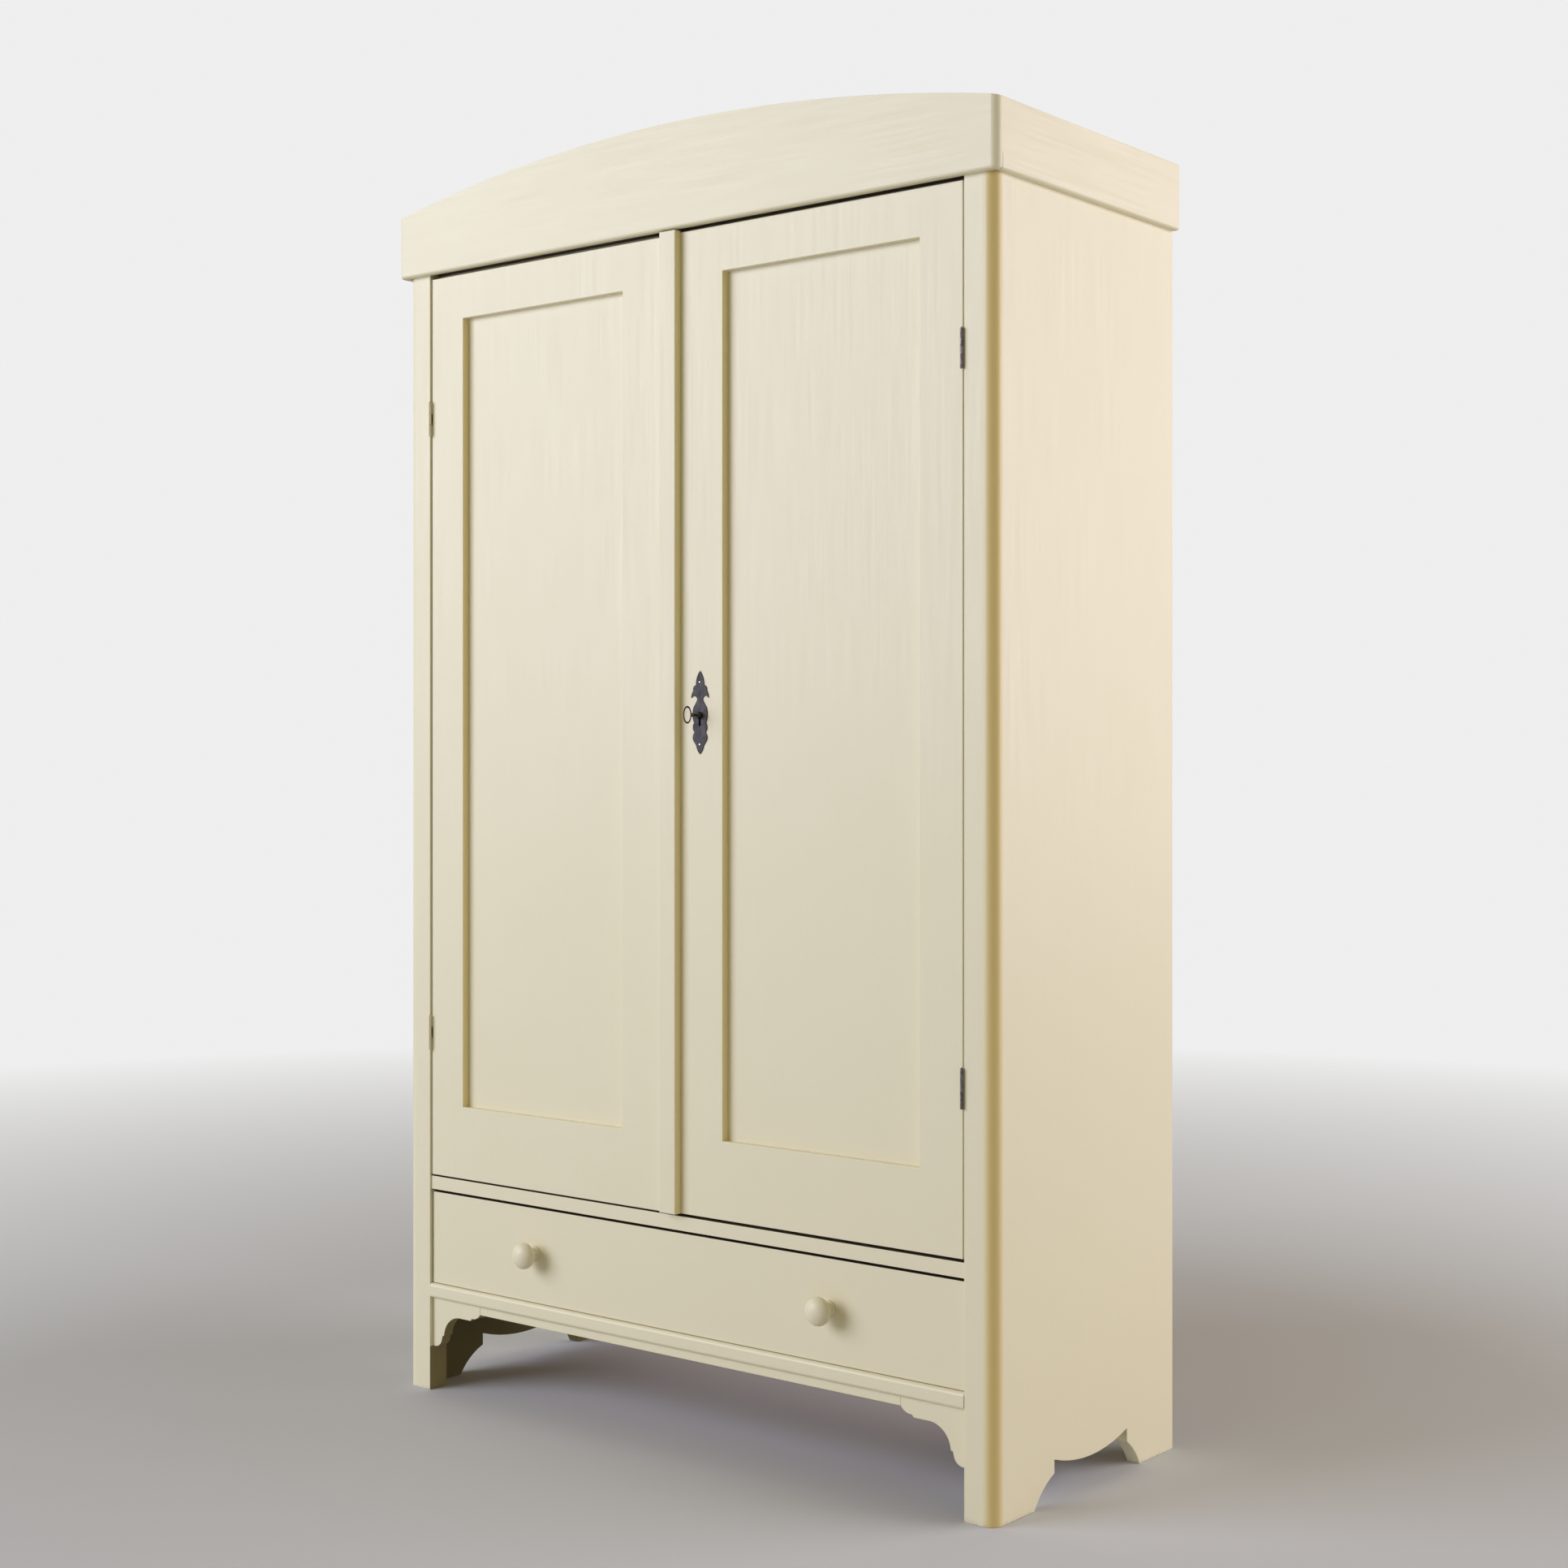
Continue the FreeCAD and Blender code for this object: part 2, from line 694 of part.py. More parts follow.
def keyhole_cut():
    """The keyhole through the right door's meeting stile: a bore and a slot."""
    through = ("door_face - overrun", "door_back + overrun")
    bore = rod("keyhole_radius", "keyhole_x", through, "keyhole_height", axis="y")
    slot = box(("keyhole_x - keyhole_slot_width / 2", "keyhole_x + keyhole_slot_width / 2"), through,
               ("keyhole_height - keyhole_slot_drop", "keyhole_height"))
    return [bore, slot]


def make_doors():
    make_door("left", "-door_outer", "meeting_left", "left_meeting_stile_width",
              "left_top_rail_width", "(door_bottom - left_door_drop)")
    make_door("right", "meeting_right", "door_outer", "right_meeting_stile_width",
              "right_top_rail_width", "door_bottom")
    strip = new_body("cover_strip", "meeting_right", "door_face", "door_bottom")
    pad(strip, "XY_Plane", [[
        ("0", "0"),
        ("0", "strip_edge_radius - strip_thickness"),
        arc("strip_edge_radius", 1),
        ("strip_edge_radius", "-strip_thickness"),
        ("strip_width - strip_edge_radius", "-strip_thickness"),
        arc("strip_edge_radius", 1),
        ("strip_width", "strip_edge_radius - strip_thickness"),
        ("strip_width", "0"),
    ]], "door_height")


# Butt hinges, two to a door: three knuckles round a pin whose end shows on top.
def hinge_parts(side, bottom):
    """The frame half and the door half of one hinge; side is 1 right, -1 left."""
    axis_x = "(%d * hinge_x)" % side
    step = "(hinge_height / %d)" % KNUCKLE_COUNT
    post_face = "(%d * post_inner)" % side
    door_edge = "(%d * door_outer)" % side
    leaf_y = "(hinge_y + hinge_leaf_width)"
    clear_y = "(hinge_y + knuckle_radius + hinge_pin_play + knuckle_gap)"

    def leaf(face, direction, low_y, level):
        other = "(%s + %d * hinge_leaf_thickness)" % (face, direction)
        pair = (face, other) if direction > 0 else (other, face)
        return box(pair, (low_y, leaf_y), level)

    frame = [leaf(post_face, -side, clear_y, (bottom, "%s + hinge_height" % bottom))]
    door = [leaf(door_edge, side, clear_y, (bottom, "%s + hinge_height" % bottom))]
    for index in range(KNUCKLE_COUNT):
        level = ("(%s + %d * %s + knuckle_gap / 2)" % (bottom, index, step),
                 "(%s + %d * %s - knuckle_gap / 2)" % (bottom, index + 1, step))
        knuckle = rod("knuckle_radius", axis_x, "hinge_y", level)
        if index % 2 == 0:
            frame += [knuckle, leaf(post_face, -side, "hinge_y", level)]
        else:
            door += [knuckle, leaf(door_edge, side, "hinge_y", level)]
    pin = ("(%s + %s / 2)" % (bottom, step), "(%s + hinge_height + hinge_pin_reach)" % bottom)
    frame.append(rod("hinge_pin_radius", axis_x, "hinge_y", pin))
    bore = rod("hinge_pin_radius + hinge_pin_play", axis_x, "hinge_y", pin)
    return fuse(frame), cut(fuse(door), [bore])


def make_hinges():
    for name, side, bottom in (("left", -1, "(door_bottom - left_door_drop)"), ("right", 1, "door_bottom")):
        upper = "(%s + door_height - hinge_top_inset - hinge_height)" % bottom
        lower = "(%s + hinge_bottom_inset)" % bottom
        halves = [hinge_parts(side, level) for level in (lower, upper)]
        keep("hinges_%s_frame" % name, group([frame for frame, _ in halves]))
        keep("hinges_%s_door" % name, group([door for _, door in halves]))


# Keyhole plate: shares of half its width and of its height, from the lower tip up.
PLATE_SHARES = [
    (0.00, 0.000),
    (0.18, 0.030),
    (0.40, 0.112),
    (0.80, 0.185),
    (0.62, 0.255),
    (0.83, 0.318),
    (0.68, 0.385),
    (0.88, 0.490),
    (0.30, 0.660),
    (1.00, 0.665),
    (0.79, 0.790),
    (0.45, 0.830),
    (0.20, 0.930),
    (0.00, 1.000),
]
# Radii of the round stretches by their lower point, as shares of the plate's
# height; a positive one bulges outward, a negative one is hollow.
PLATE_ARC_SHARES = {2: 0.10, 3: 0.055, 4: 0.055, 5: 0.055, 6: 0.10, 7: -0.20, 9: -0.20, 11: -0.15}
# Heights of the two pins that hold the plate, as shares of its height.
PIN_HEIGHT_SHARES = (0.115, 0.865)


def plate_outline():
    """The keyhole plate's outline, up its right side and down its left."""
    top = len(PLATE_SHARES) - 1
    outline = []
    for side, order in ((1, range(top)), (-1, range(top, 0, -1))):
        for index in order:
            across, height = PLATE_SHARES[index]
            outline.append(("%d * plate_half_width * %s" % (side, across), "plate_height * %s" % height))
            lower = index if side > 0 else index - 1
            if lower in PLATE_ARC_SHARES:
                outline.append(bend("plate_height", PLATE_ARC_SHARES[lower]))
    return outline


def make_lock():
    plate = new_body("keyhole_plate", "keyhole_x", "door_face", "keyhole_height - plate_bottom_drop")
    pad(plate, "XZ_Plane", [plate_outline()], "plate_thickness")
    doc.recompute()
    before = plate.Shape.Volume
    sketch = sketch_on(plate, "XZ_Plane")
    draw_circle(sketch, "0", "plate_bottom_drop", "keyhole_radius")
    hole = plate.newObject("PartDesign::Pocket", "Keyhole")
    hole.Profile = sketch
    hole.Type = "ThroughAll"
    hole.Midplane = True
    slot_sketch = sketch_on(plate, "XZ_Plane")
    draw(slot_sketch, rectangle(
        ("-keyhole_slot_width / 2", "keyhole_slot_width / 2"),
        ("plate_bottom_drop - keyhole_slot_drop", "plate_bottom_drop")))
    slot = plate.newObject("PartDesign::Pocket", "KeySlot")
    slot.Profile = slot_sketch
    slot.Type = "ThroughAll"
    slot.Midplane = True
    doc.recompute()
    assert plate.Shape.Volume < before
    plate_face = "(door_face - plate_thickness)"
    pins = []
    for share in PIN_HEIGHT_SHARES:
        level = "(keyhole_height - plate_bottom_drop + plate_height * %s)" % share
        head = ("(%s - pin_head_height)" % plate_face, plate_face)
        pins.append(rod("pin_head_radius", "keyhole_x", head, level, axis="y"))
    keep("plate_pins", group(pins))
    make_lock_case()
    make_key()


def make_lock_case():
    """A flat case on the door's inner face, with the bolt's slot in its edge."""
    low = "(keyhole_height - lock_height / 2)"
    high = "(keyhole_height + lock_height / 2)"
    right = "(lock_left + lock_width)"
    outside = box(("lock_left", right), ("door_back", "door_back + lock_depth"), (low, high))
    inside = box(("lock_left + lock_wall", "%s - lock_wall" % right),
                 ("door_back - overrun", "door_back + lock_depth - lock_wall"),
                 ("%s + lock_wall" % low, "%s - lock_wall" % high))
    bolt_z = ("(keyhole_height - bolt_height / 2)", "(keyhole_height + bolt_height / 2)")
    slot = box(("lock_left - overrun", "lock_left + lock_wall + overrun"),
               ("bolt_front - bolt_play", "bolt_back + bolt_play"),
               ("%s - bolt_play" % bolt_z[0], "%s + bolt_play" % bolt_z[1]))
    keep("lock_case", cut(outside, [inside, slot]))
    keep("lock_bolt", box(("lock_left", "lock_left + bolt_length"), ("bolt_front", "bolt_back"), bolt_z))
    keeper_right = "(meeting_left - keeper_edge_inset)"
    keeper_left = "(%s - keeper_width)" % keeper_right
    keeper_z = ("keyhole_height - keeper_height / 2", "keyhole_height + keeper_height / 2")
    shell = box((keeper_left, keeper_right), ("door_back", "door_back + lock_depth"), keeper_z)
    hollow = box(("%s + lock_wall" % keeper_left, "%s + overrun" % keeper_right),
                 ("door_back - overrun", "door_back + lock_depth - lock_wall"),
                 ("%s + lock_wall" % keeper_z[0], "%s - lock_wall" % keeper_z[1]))
    keep("lock_keeper", cut(shell, [hollow]))


def bow_outline(inset):
    """The key's oval bow in its upright plane, drawn in by an inset."""
    radius = "(key_bow_length / 2 - %s)" % inset
    straight = "((key_bow_height - key_bow_length) / 2)"
    middle = "(-key_shank_reach - key_bow_length / 2)"
    near_y = "(%s + %s)" % (middle, radius)
    far_y = "(%s - %s)" % (middle, radius)
    return [
        (near_y, "-%s" % straight),
        (near_y, straight),
        arc(radius, 1),
        (middle, "%s + %s" % (straight, radius)),
        arc(radius, 1),
        (far_y, straight),
        (far_y, "-%s" % straight),
        arc(radius, 1),
        (middle, "-%s - %s" % (straight, radius)),
        arc(radius, 1),
    ]


def make_key():
    """A key with an oval bow, a collar on its shank and a bit inside the case."""
    key = new_body("key", "keyhole_x", "door_face", "keyhole_height")
    outer = bow_outline("0")
    opening = bow_outline("key_bow_wire")
    pad(key, "YZ_Plane", [outer, opening], "key_bow_wire", middle=True)
    shank_end = "(bolt_front - door_face - key_end_gap)"
    sketch = sketch_on(key, "XZ_Plane")
    sketch.setExpression("AttachmentOffset.Base.z", expand("key_shank_reach + key_bow_wire / 2"))
    draw_circle(sketch, "0", "0", "key_shank_radius")
    shank = key.newObject("PartDesign::Pad", "Shank")
    shank.Profile = sketch
    shank.Reversed = True
    bind(shank, Length="%s + key_shank_reach + key_bow_wire / 2" % shank_end)
    collar_sketch = sketch_on(key, "XZ_Plane")
    collar_sketch.setExpression("AttachmentOffset.Base.z", expand("key_shank_reach"))
    draw_circle(collar_sketch, "0", "0", "key_collar_radius")
    collar = key.newObject("PartDesign::Pad", "Collar")
    collar.Profile = collar_sketch
    collar.Reversed = True
    bind(collar, Length="key_collar_length")
    pad(key, "YZ_Plane", [rectangle(
        ("%s - key_bit_length" % shank_end, shank_end), ("-key_bit_reach", "0"))],
        "key_bit_thickness", middle=True)


# Inner bolts of the left door: a flat bar slides in a bent guide.
def make_slide_bolts():
    wall = "slide_guide_wall"
    half_bar = "(slide_bolt_width / 2 + slide_bolt_play)"
    half_hat = "(%s + %s)" % (half_bar, wall)
    half_plate = "(%s + slide_guide_flange)" % half_hat
    bar_room = "(%s + slide_bolt_thickness + slide_bolt_play * 2)" % wall
    guides = []
    bars = {}
    upper_end = "(stop_bottom - slide_bolt_end_gap)"
    lower_end = "(mid_stop_top + slide_bolt_end_gap)"
    upper_foot = "(%s - slide_bolt_length)" % upper_end
    lower_head = "(%s + slide_bolt_length)" % lower_end
    for name, low, high, stud in (
            ("slide_bolt_upper", upper_foot, upper_end, "(%s + slide_stud_radius * 2)" % upper_foot),
            ("slide_bolt_lower", lower_end, lower_head, "(%s - slide_stud_radius * 2)" % lower_head)):
        middle = "((%s + %s) / 2)" % (low, high)
        guide = doc.addObject("PartDesign::Body", "Guide")
        place(guide, "slide_x", "door_back", "%s - slide_guide_height / 2" % middle)
        hat = [
            ("-%s" % half_plate, "0"),
            (half_plate, "0"),
            (half_plate, wall),
            (half_hat, wall),
            (half_hat, "%s + %s" % (bar_room, wall)),
            ("-%s" % half_hat, "%s + %s" % (bar_room, wall)),
            ("-%s" % half_hat, wall),
            ("-%s" % half_plate, wall),
        ]
        channel = rectangle(("-%s" % half_bar, half_bar), (wall, bar_room))
        pad(guide, "XY_Plane", [hat, channel], "slide_guide_height")
        guides.append(guide)
        bar = box(("slide_x - slide_bolt_width / 2", "slide_x + slide_bolt_width / 2"),
                  ("slide_front", "slide_back"), (low, high))
        knob = rod("slide_stud_radius", "slide_x",
                   ("slide_back - slide_bolt_play", "slide_back + slide_stud_height"), stud, axis="y")
        bars[name] = fuse([bar, knob])
    keep("slide_bolt_guides", group(guides))
    for name, bar in bars.items():
        keep(name, bar)


# Drawer rail, apron and the two scroll-cut brackets between the posts.
BRACKET_SHARES = [
    (0.0, 1.0),
    (1.0, 1.0),
    (1.0, 0.833),
    (0.827, 0.715),
    (0.798, 0.667),
    (0.550, 0.667),
    (0.236, 0.240),
    (0.207, 0.240),
    (0.192, 0.170),
    (0.058, 0.0),
    (0.0, 0.0),
]
# Radius of the round stretches by their first point, as shares of the bracket's
# width; the sign is the side to which the stretch turns.
BRACKET_ARC_SHARES = {2: -0.18, 5: 0.33, 8: -0.145}


def make_apron():
    moulding = new_body("drawer_moulding", "-post_inner", "front", "moulding_bottom")
    pad(moulding, "YZ_Plane", [[
        ("moulding_radius - moulding_proud", "0"),
        ("post_depth", "0"),
        ("post_depth", "moulding_height"),
        ("moulding_radius - moulding_proud", "moulding_height"),
        arc("moulding_radius", 1),
        ("-moulding_proud", "moulding_height - moulding_radius"),
        ("-moulding_proud", "moulding_radius"),
        arc("moulding_radius", 1),
    ]], "post_inner * 2")
    thick = ("front + apron_setback", "front + apron_setback + apron_thickness")
    keep("apron_strip", box(("bracket_width - post_inner", "post_inner - bracket_width"), thick,
                            ("moulding_bottom - apron_height", "moulding_bottom")))
    outline = []
    for index, (across, up) in enumerate(BRACKET_SHARES):
        outline.append(("bracket_width * %s" % across, "bracket_height * %s" % up))
        if index in BRACKET_ARC_SHARES:
            outline.append(bend("bracket_width", BRACKET_ARC_SHARES[index]))
    level = "moulding_bottom - bracket_height"
    for name, x, shape in (("bracket_left", "-post_inner", outline),
                           ("bracket_right", "post_inner", mirrored(outline))):
        body = new_body(name, x, "front + apron_setback", level)
        pad(body, "XZ_Plane", [shape], "apron_thickness", reverse=True)


# Runners: a ledge under each drawer side and a guide beside it.
def make_runners():
    ledge_low = "(moulding_top - runner_thickness)"
    guide_top = "(moulding_top + guide_height)"
    guide_face = "(drawer_half + guide_gap)"
    outline = [
        ("side_inner - runner_width", ledge_low),
        ("side_inner", ledge_low),
        ("side_inner", guide_top),
        (guide_face, guide_top),
        (guide_face, "moulding_top"),
        ("side_inner - runner_width", "moulding_top"),
    ]
    for name, shape in (("runner_right", outline), ("runner_left", mirrored(outline))):
        body = new_body(name, y="post_back")
        pad(body, "XZ_Plane", [shape], "rear_rail_face - post_back", reverse=True)


# Drawer: sides half-blind dovetailed to the front, the bottom in grooves.
def dovetail(index, low_y, high_y):
    """One tail in the YZ plane, wide at its front end; y and z are formulas."""
    pitch = "(drawer_side_height / %d)" % DOVETAIL_COUNT
    centre = "(%s + 0.5) * %s" % (index, pitch)
    root = "(dovetail_width / 2 - dovetail_flare)"
    return [
        (low_y, "%s - dovetail_width / 2" % centre),
        (high_y, "%s - %s" % (centre, root)),
        (high_y, "%s + %s" % (centre, root)),
        (low_y, "%s + dovetail_width / 2" % centre),
    ]


def make_drawer():
    seat = "drawer_seat"
    groove_z = ("drawer_seat + drawer_bottom_lift",
                "drawer_seat + drawer_bottom_lift + drawer_bottom_thickness")
    inside = "(drawer_half - drawer_side_thickness)"
    bottom_x = ("-%s - drawer_groove_depth" % inside, "%s + drawer_groove_depth" % inside)
    bottom_y = ("drawer_front_back - drawer_groove_depth", "drawer_rear")
    tail_front = "drawer_front_thickness - dovetail_length"
    sockets = []
    for side in (-1, 1):
        left = "-drawer_half" if side < 0 else inside
        socket = doc.addObject("PartDesign::Body", "Sockets")
        place(socket, left, "drawer_front_face", seat)
        tails = [dovetail(index, tail_front, "drawer_front_thickness") for index in range(DOVETAIL_COUNT)]
        pad(socket, "YZ_Plane", tails, "drawer_side_thickness")
        sockets.append(socket)
        name = "drawer_side_left" if side < 0 else "drawer_side_right"
        outline = [("drawer_front_thickness", "0"), ("drawer_length", "0"),
                   ("drawer_length", "drawer_side_height"), ("drawer_front_thickness", "drawer_side_height")]
        for index in reversed(range(DOVETAIL_COUNT)):
            tail = dovetail(index, tail_front, "drawer_front_thickness")
            outline += [tail[2], tail[3], tail[0], tail[1]]
        board = doc.addObject("PartDesign::Body", "DrawerSide")
        place(board, left, "drawer_front_face", seat)
        pad(board, "YZ_Plane", [outline], "drawer_side_thickness")
        keep(name, cut(board, [box(bottom_x, bottom_y, groove_z)]))
    front_board = box(("-drawer_half", "drawer_half"), ("drawer_front_face", "drawer_front_back"),
                      ("moulding_top + drawer_lower_gap", "mid_rail_bottom - drawer_upper_gap"))
    bores = [rod("knob_dowel_radius + knob_dowel_play", "%d * knob_spacing / 2" % side,
                 ("drawer_front_face - overrun", "drawer_front_back + overrun"), "knob_height", axis="y")
             for side in (-1, 1)]
    keep("drawer_front", cut(front_board, sockets + bores + [box(bottom_x, bottom_y, groove_z)]))
    keep("drawer_bottom", box(bottom_x, bottom_y, groove_z))
    keep("drawer_back", box(("-%s" % inside, inside), ("drawer_rear - drawer_side_thickness", "drawer_rear"),
                            (groove_z[1], "drawer_seat + drawer_side_height")))


# Turned knobs: foot, waisted neck and ball in one, with a dowel through the front.
def make_knobs():
    neck_depth = "sqrt(knob_radius * knob_radius - knob_neck_radius * knob_neck_radius)"
    neck_end = "(knob_radius - knob_reach + %s)" % neck_depth
    outline = [
        ("knob_dowel_length", "0"),
        ("knob_dowel_length", "knob_dowel_radius"),
        ("0", "knob_dowel_radius"),
        ("0", "knob_foot_radius"),
        ("-knob_foot_height", "knob_foot_radius"),
        ("-knob_foot_height", "knob_neck_radius"),
        (neck_end, "knob_neck_radius"),
        arc("knob_radius", 1),
        ("-knob_reach", "0"),
    ]
    knobs = []
    for side in (-1, 1):
        knob = doc.addObject("PartDesign::Body", "Knob")
        place(knob, "%d * knob_spacing / 2" % side, "drawer_front_face", "knob_height")
        sketch = sketch_on(knob, "YZ_Plane")
        draw(sketch, outline)
        turned = knob.newObject("PartDesign::Revolution", "Turned")
        turned.Profile = sketch
        turned.ReferenceAxis = (sketch, ["H_Axis"])
        turned.Angle = 360
        knobs.append(knob)
    keep("knobs", group(knobs))


make_posts()
make_side_boards()
make_back_boards()
make_rails()
make_level_boards()
make_cornice()
make_doors()
make_hinges()
make_lock()
make_slide_bolts()
make_apron()
make_runners()
make_drawer()
make_knobs()
doc.recompute()

# Nothing is written unless every object is sound.
for thing in doc.Objects:
    if "Invalid" in thing.State or "Error" in thing.State:
        raise RuntimeError("%s failed: %s" % (thing.Label, thing.State))
for name, piece in PIECES.items():
    if piece.Shape.isNull() or not piece.Shape.isValid() or not piece.Shape.Solids:
        raise RuntimeError("%s has no sound shape" % name)
for name, piece in PIECES.items():
    piece.Shape.exportStep("parts/%s.step" % name)
print("%d sub-parts written" % len(PIECES))
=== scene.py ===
import math

import bmesh
import bpy
from mathutils import Matrix, Vector


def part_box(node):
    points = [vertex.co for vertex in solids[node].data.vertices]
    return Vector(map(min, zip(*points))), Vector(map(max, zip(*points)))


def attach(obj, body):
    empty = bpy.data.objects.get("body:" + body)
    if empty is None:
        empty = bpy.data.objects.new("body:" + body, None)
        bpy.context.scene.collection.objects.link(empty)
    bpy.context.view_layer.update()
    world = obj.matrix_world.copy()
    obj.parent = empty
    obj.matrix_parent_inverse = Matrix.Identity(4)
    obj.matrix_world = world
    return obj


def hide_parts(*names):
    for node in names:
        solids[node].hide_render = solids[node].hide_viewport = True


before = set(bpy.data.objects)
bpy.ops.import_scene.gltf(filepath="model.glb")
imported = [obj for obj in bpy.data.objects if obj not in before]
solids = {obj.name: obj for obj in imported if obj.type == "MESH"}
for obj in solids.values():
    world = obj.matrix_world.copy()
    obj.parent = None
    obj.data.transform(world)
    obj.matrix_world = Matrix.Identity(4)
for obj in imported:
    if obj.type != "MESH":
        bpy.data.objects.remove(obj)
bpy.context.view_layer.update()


# The camera stands to the right of the cupboard's front, level, at about the
# height of the lock. A small shift sets the horizon where the photograph has it.
PHOTO_WIDTH = 1932
FOCAL_PIXELS = 2893.07
HORIZON_ROW = 931.47
SENSOR_WIDTH = 36
CAMERA_PLACE = (2.1964, -2.6730, 0.975)
CAMERA_TURN = 38.93
camera_data = bpy.data.cameras.new("camera")
camera_data.sensor_width = SENSOR_WIDTH
camera_data.lens = SENSOR_WIDTH * FOCAL_PIXELS / PHOTO_WIDTH
camera_data.shift_y = (HORIZON_ROW - PHOTO_WIDTH / 2) / PHOTO_WIDTH
camera = bpy.data.objects.new("camera", camera_data)
camera.location = CAMERA_PLACE
camera.rotation_euler = (math.radians(90), 0, math.radians(CAMERA_TURN))
bpy.context.scene.collection.objects.link(camera)
bpy.context.scene.camera = camera


# Posts and side boards: a pine post at each front corner, its outer edge rounded,
# and behind it one wide board with a scalloped foot. Outside they are brushed with
# cream oil paint; inside they are bare. Low on the feet the inner and sawn faces are
# coloured a dull dark olive: painted shade for the dark under the cupboard.
PAINT_CREAM = (0.80, 0.747, 0.54, 1)
PAINT_WARM = (0.77, 0.705, 0.485, 1)
FOOT_GRIME = (0.30, 0.25, 0.17, 1)
GRIME_HEIGHT = 0.006
MIX_LOW, MIX_HIGH, MIX_RESULT = 6, 7, 2
STROKE_SQUEEZE, STROKE_DEPTH = 0.025, 0.0006
GRAIN_SQUEEZE, GRAIN_RELIEF = 0.045, (0.2, 0.0005)


def noise_on(tree, vector, scale, detail, roughness):
    """A noise texture on given coordinates."""
    noise = tree.nodes.new("ShaderNodeTexNoise")
    noise.inputs["Scale"].default_value = scale
    noise.inputs["Detail"].default_value = detail
    noise.inputs["Roughness"].default_value = roughness
    tree.links.new(vector, noise.inputs["Vector"])
    return noise.outputs["Fac"]


def blended(tree, amount, low, high):
    """A colour mixed between two others by an amount."""
    mix = tree.nodes.new("ShaderNodeMix")
    mix.data_type = "RGBA"
    tree.links.new(amount, mix.inputs[0])
    for socket, colour in ((mix.inputs[MIX_LOW], low), (mix.inputs[MIX_HIGH], high)):
        if isinstance(colour, tuple):
            socket.default_value = colour
        else:
            tree.links.new(colour, socket)
    return mix.outputs[MIX_RESULT]


def ranged(tree, value, source, target):
    """A value carried from one range to another and held inside it."""
    node = tree.nodes.new("ShaderNodeMapRange")
    for name, number in zip(("From Min", "From Max", "To Min", "To Max"), source + target):
        node.inputs[name].default_value = number
    tree.links.new(value, node.inputs["Value"])
    return node.outputs["Result"]


def combined(tree, operation, first, second):
    """Two values joined by one sum; each is a socket or a number."""
    node = tree.nodes.new("ShaderNodeMath")
    node.operation = operation
    for socket, value in zip(node.inputs, (first, second)):
        if isinstance(value, float):
            socket.default_value = value
        else:
            tree.links.new(value, socket)
    return node.outputs[0]


def drawn_out(tree, vector, along, factor):
    """Coordinates squeezed along one axis, so that a pattern runs along it."""
    mapping = tree.nodes.new("ShaderNodeMapping")
    scale = [1.0, 1.0, 1.0]
    scale["xyz".index(along)] = factor
    mapping.inputs["Scale"].default_value = scale
    tree.links.new(vector, mapping.inputs["Vector"])
    return mapping.outputs["Vector"]


def axes(tree, vector):
    """The X, Y and Z of given coordinates."""
    parts = tree.nodes.new("ShaderNodeSeparateXYZ")
    tree.links.new(vector, parts.inputs[0])
    return parts.outputs


def raised(tree, height, shader, strength, distance):
    """A relief from a height on a shader."""
    bump = tree.nodes.new("ShaderNodeBump")
    bump.inputs["Strength"].default_value = strength
    bump.inputs["Distance"].default_value = distance
    tree.links.new(height, bump.inputs["Height"])
    tree.links.new(bump.outputs["Normal"], shader.inputs["Normal"])


def blank_material(name):
    """A new material with its tree, its shader and the object's own coordinates."""
    material = bpy.data.materials.new(name)
    material.use_nodes = True
    tree = material.node_tree
    place = tree.nodes.new("ShaderNodeTexCoord").outputs["Object"]
    return material, tree, tree.nodes["Principled BSDF"], place


def effect_group(name, *colours):
    """An empty shared effect, drawn out along a grain, with the colours that it is given."""
    group = bpy.data.node_groups.new(name, "ShaderNodeTree")
    sockets = [("Place", "INPUT", "Vector"), ("Along", "INPUT", "Vector")]
    sockets += [(colour, "INPUT", "Color") for colour in colours]
    sockets += [("Colour", "OUTPUT", "Color"), ("Sheen", "OUTPUT", "Float"), ("Height", "OUTPUT", "Float")]
    for label, way, kind in sockets:
        group.interface.new_socket(label, in_out=way, socket_type="NodeSocket" + kind)
    given = group.nodes.new("NodeGroupInput").outputs
    result = group.nodes.new("NodeGroupOutput").inputs
    return group, given, result


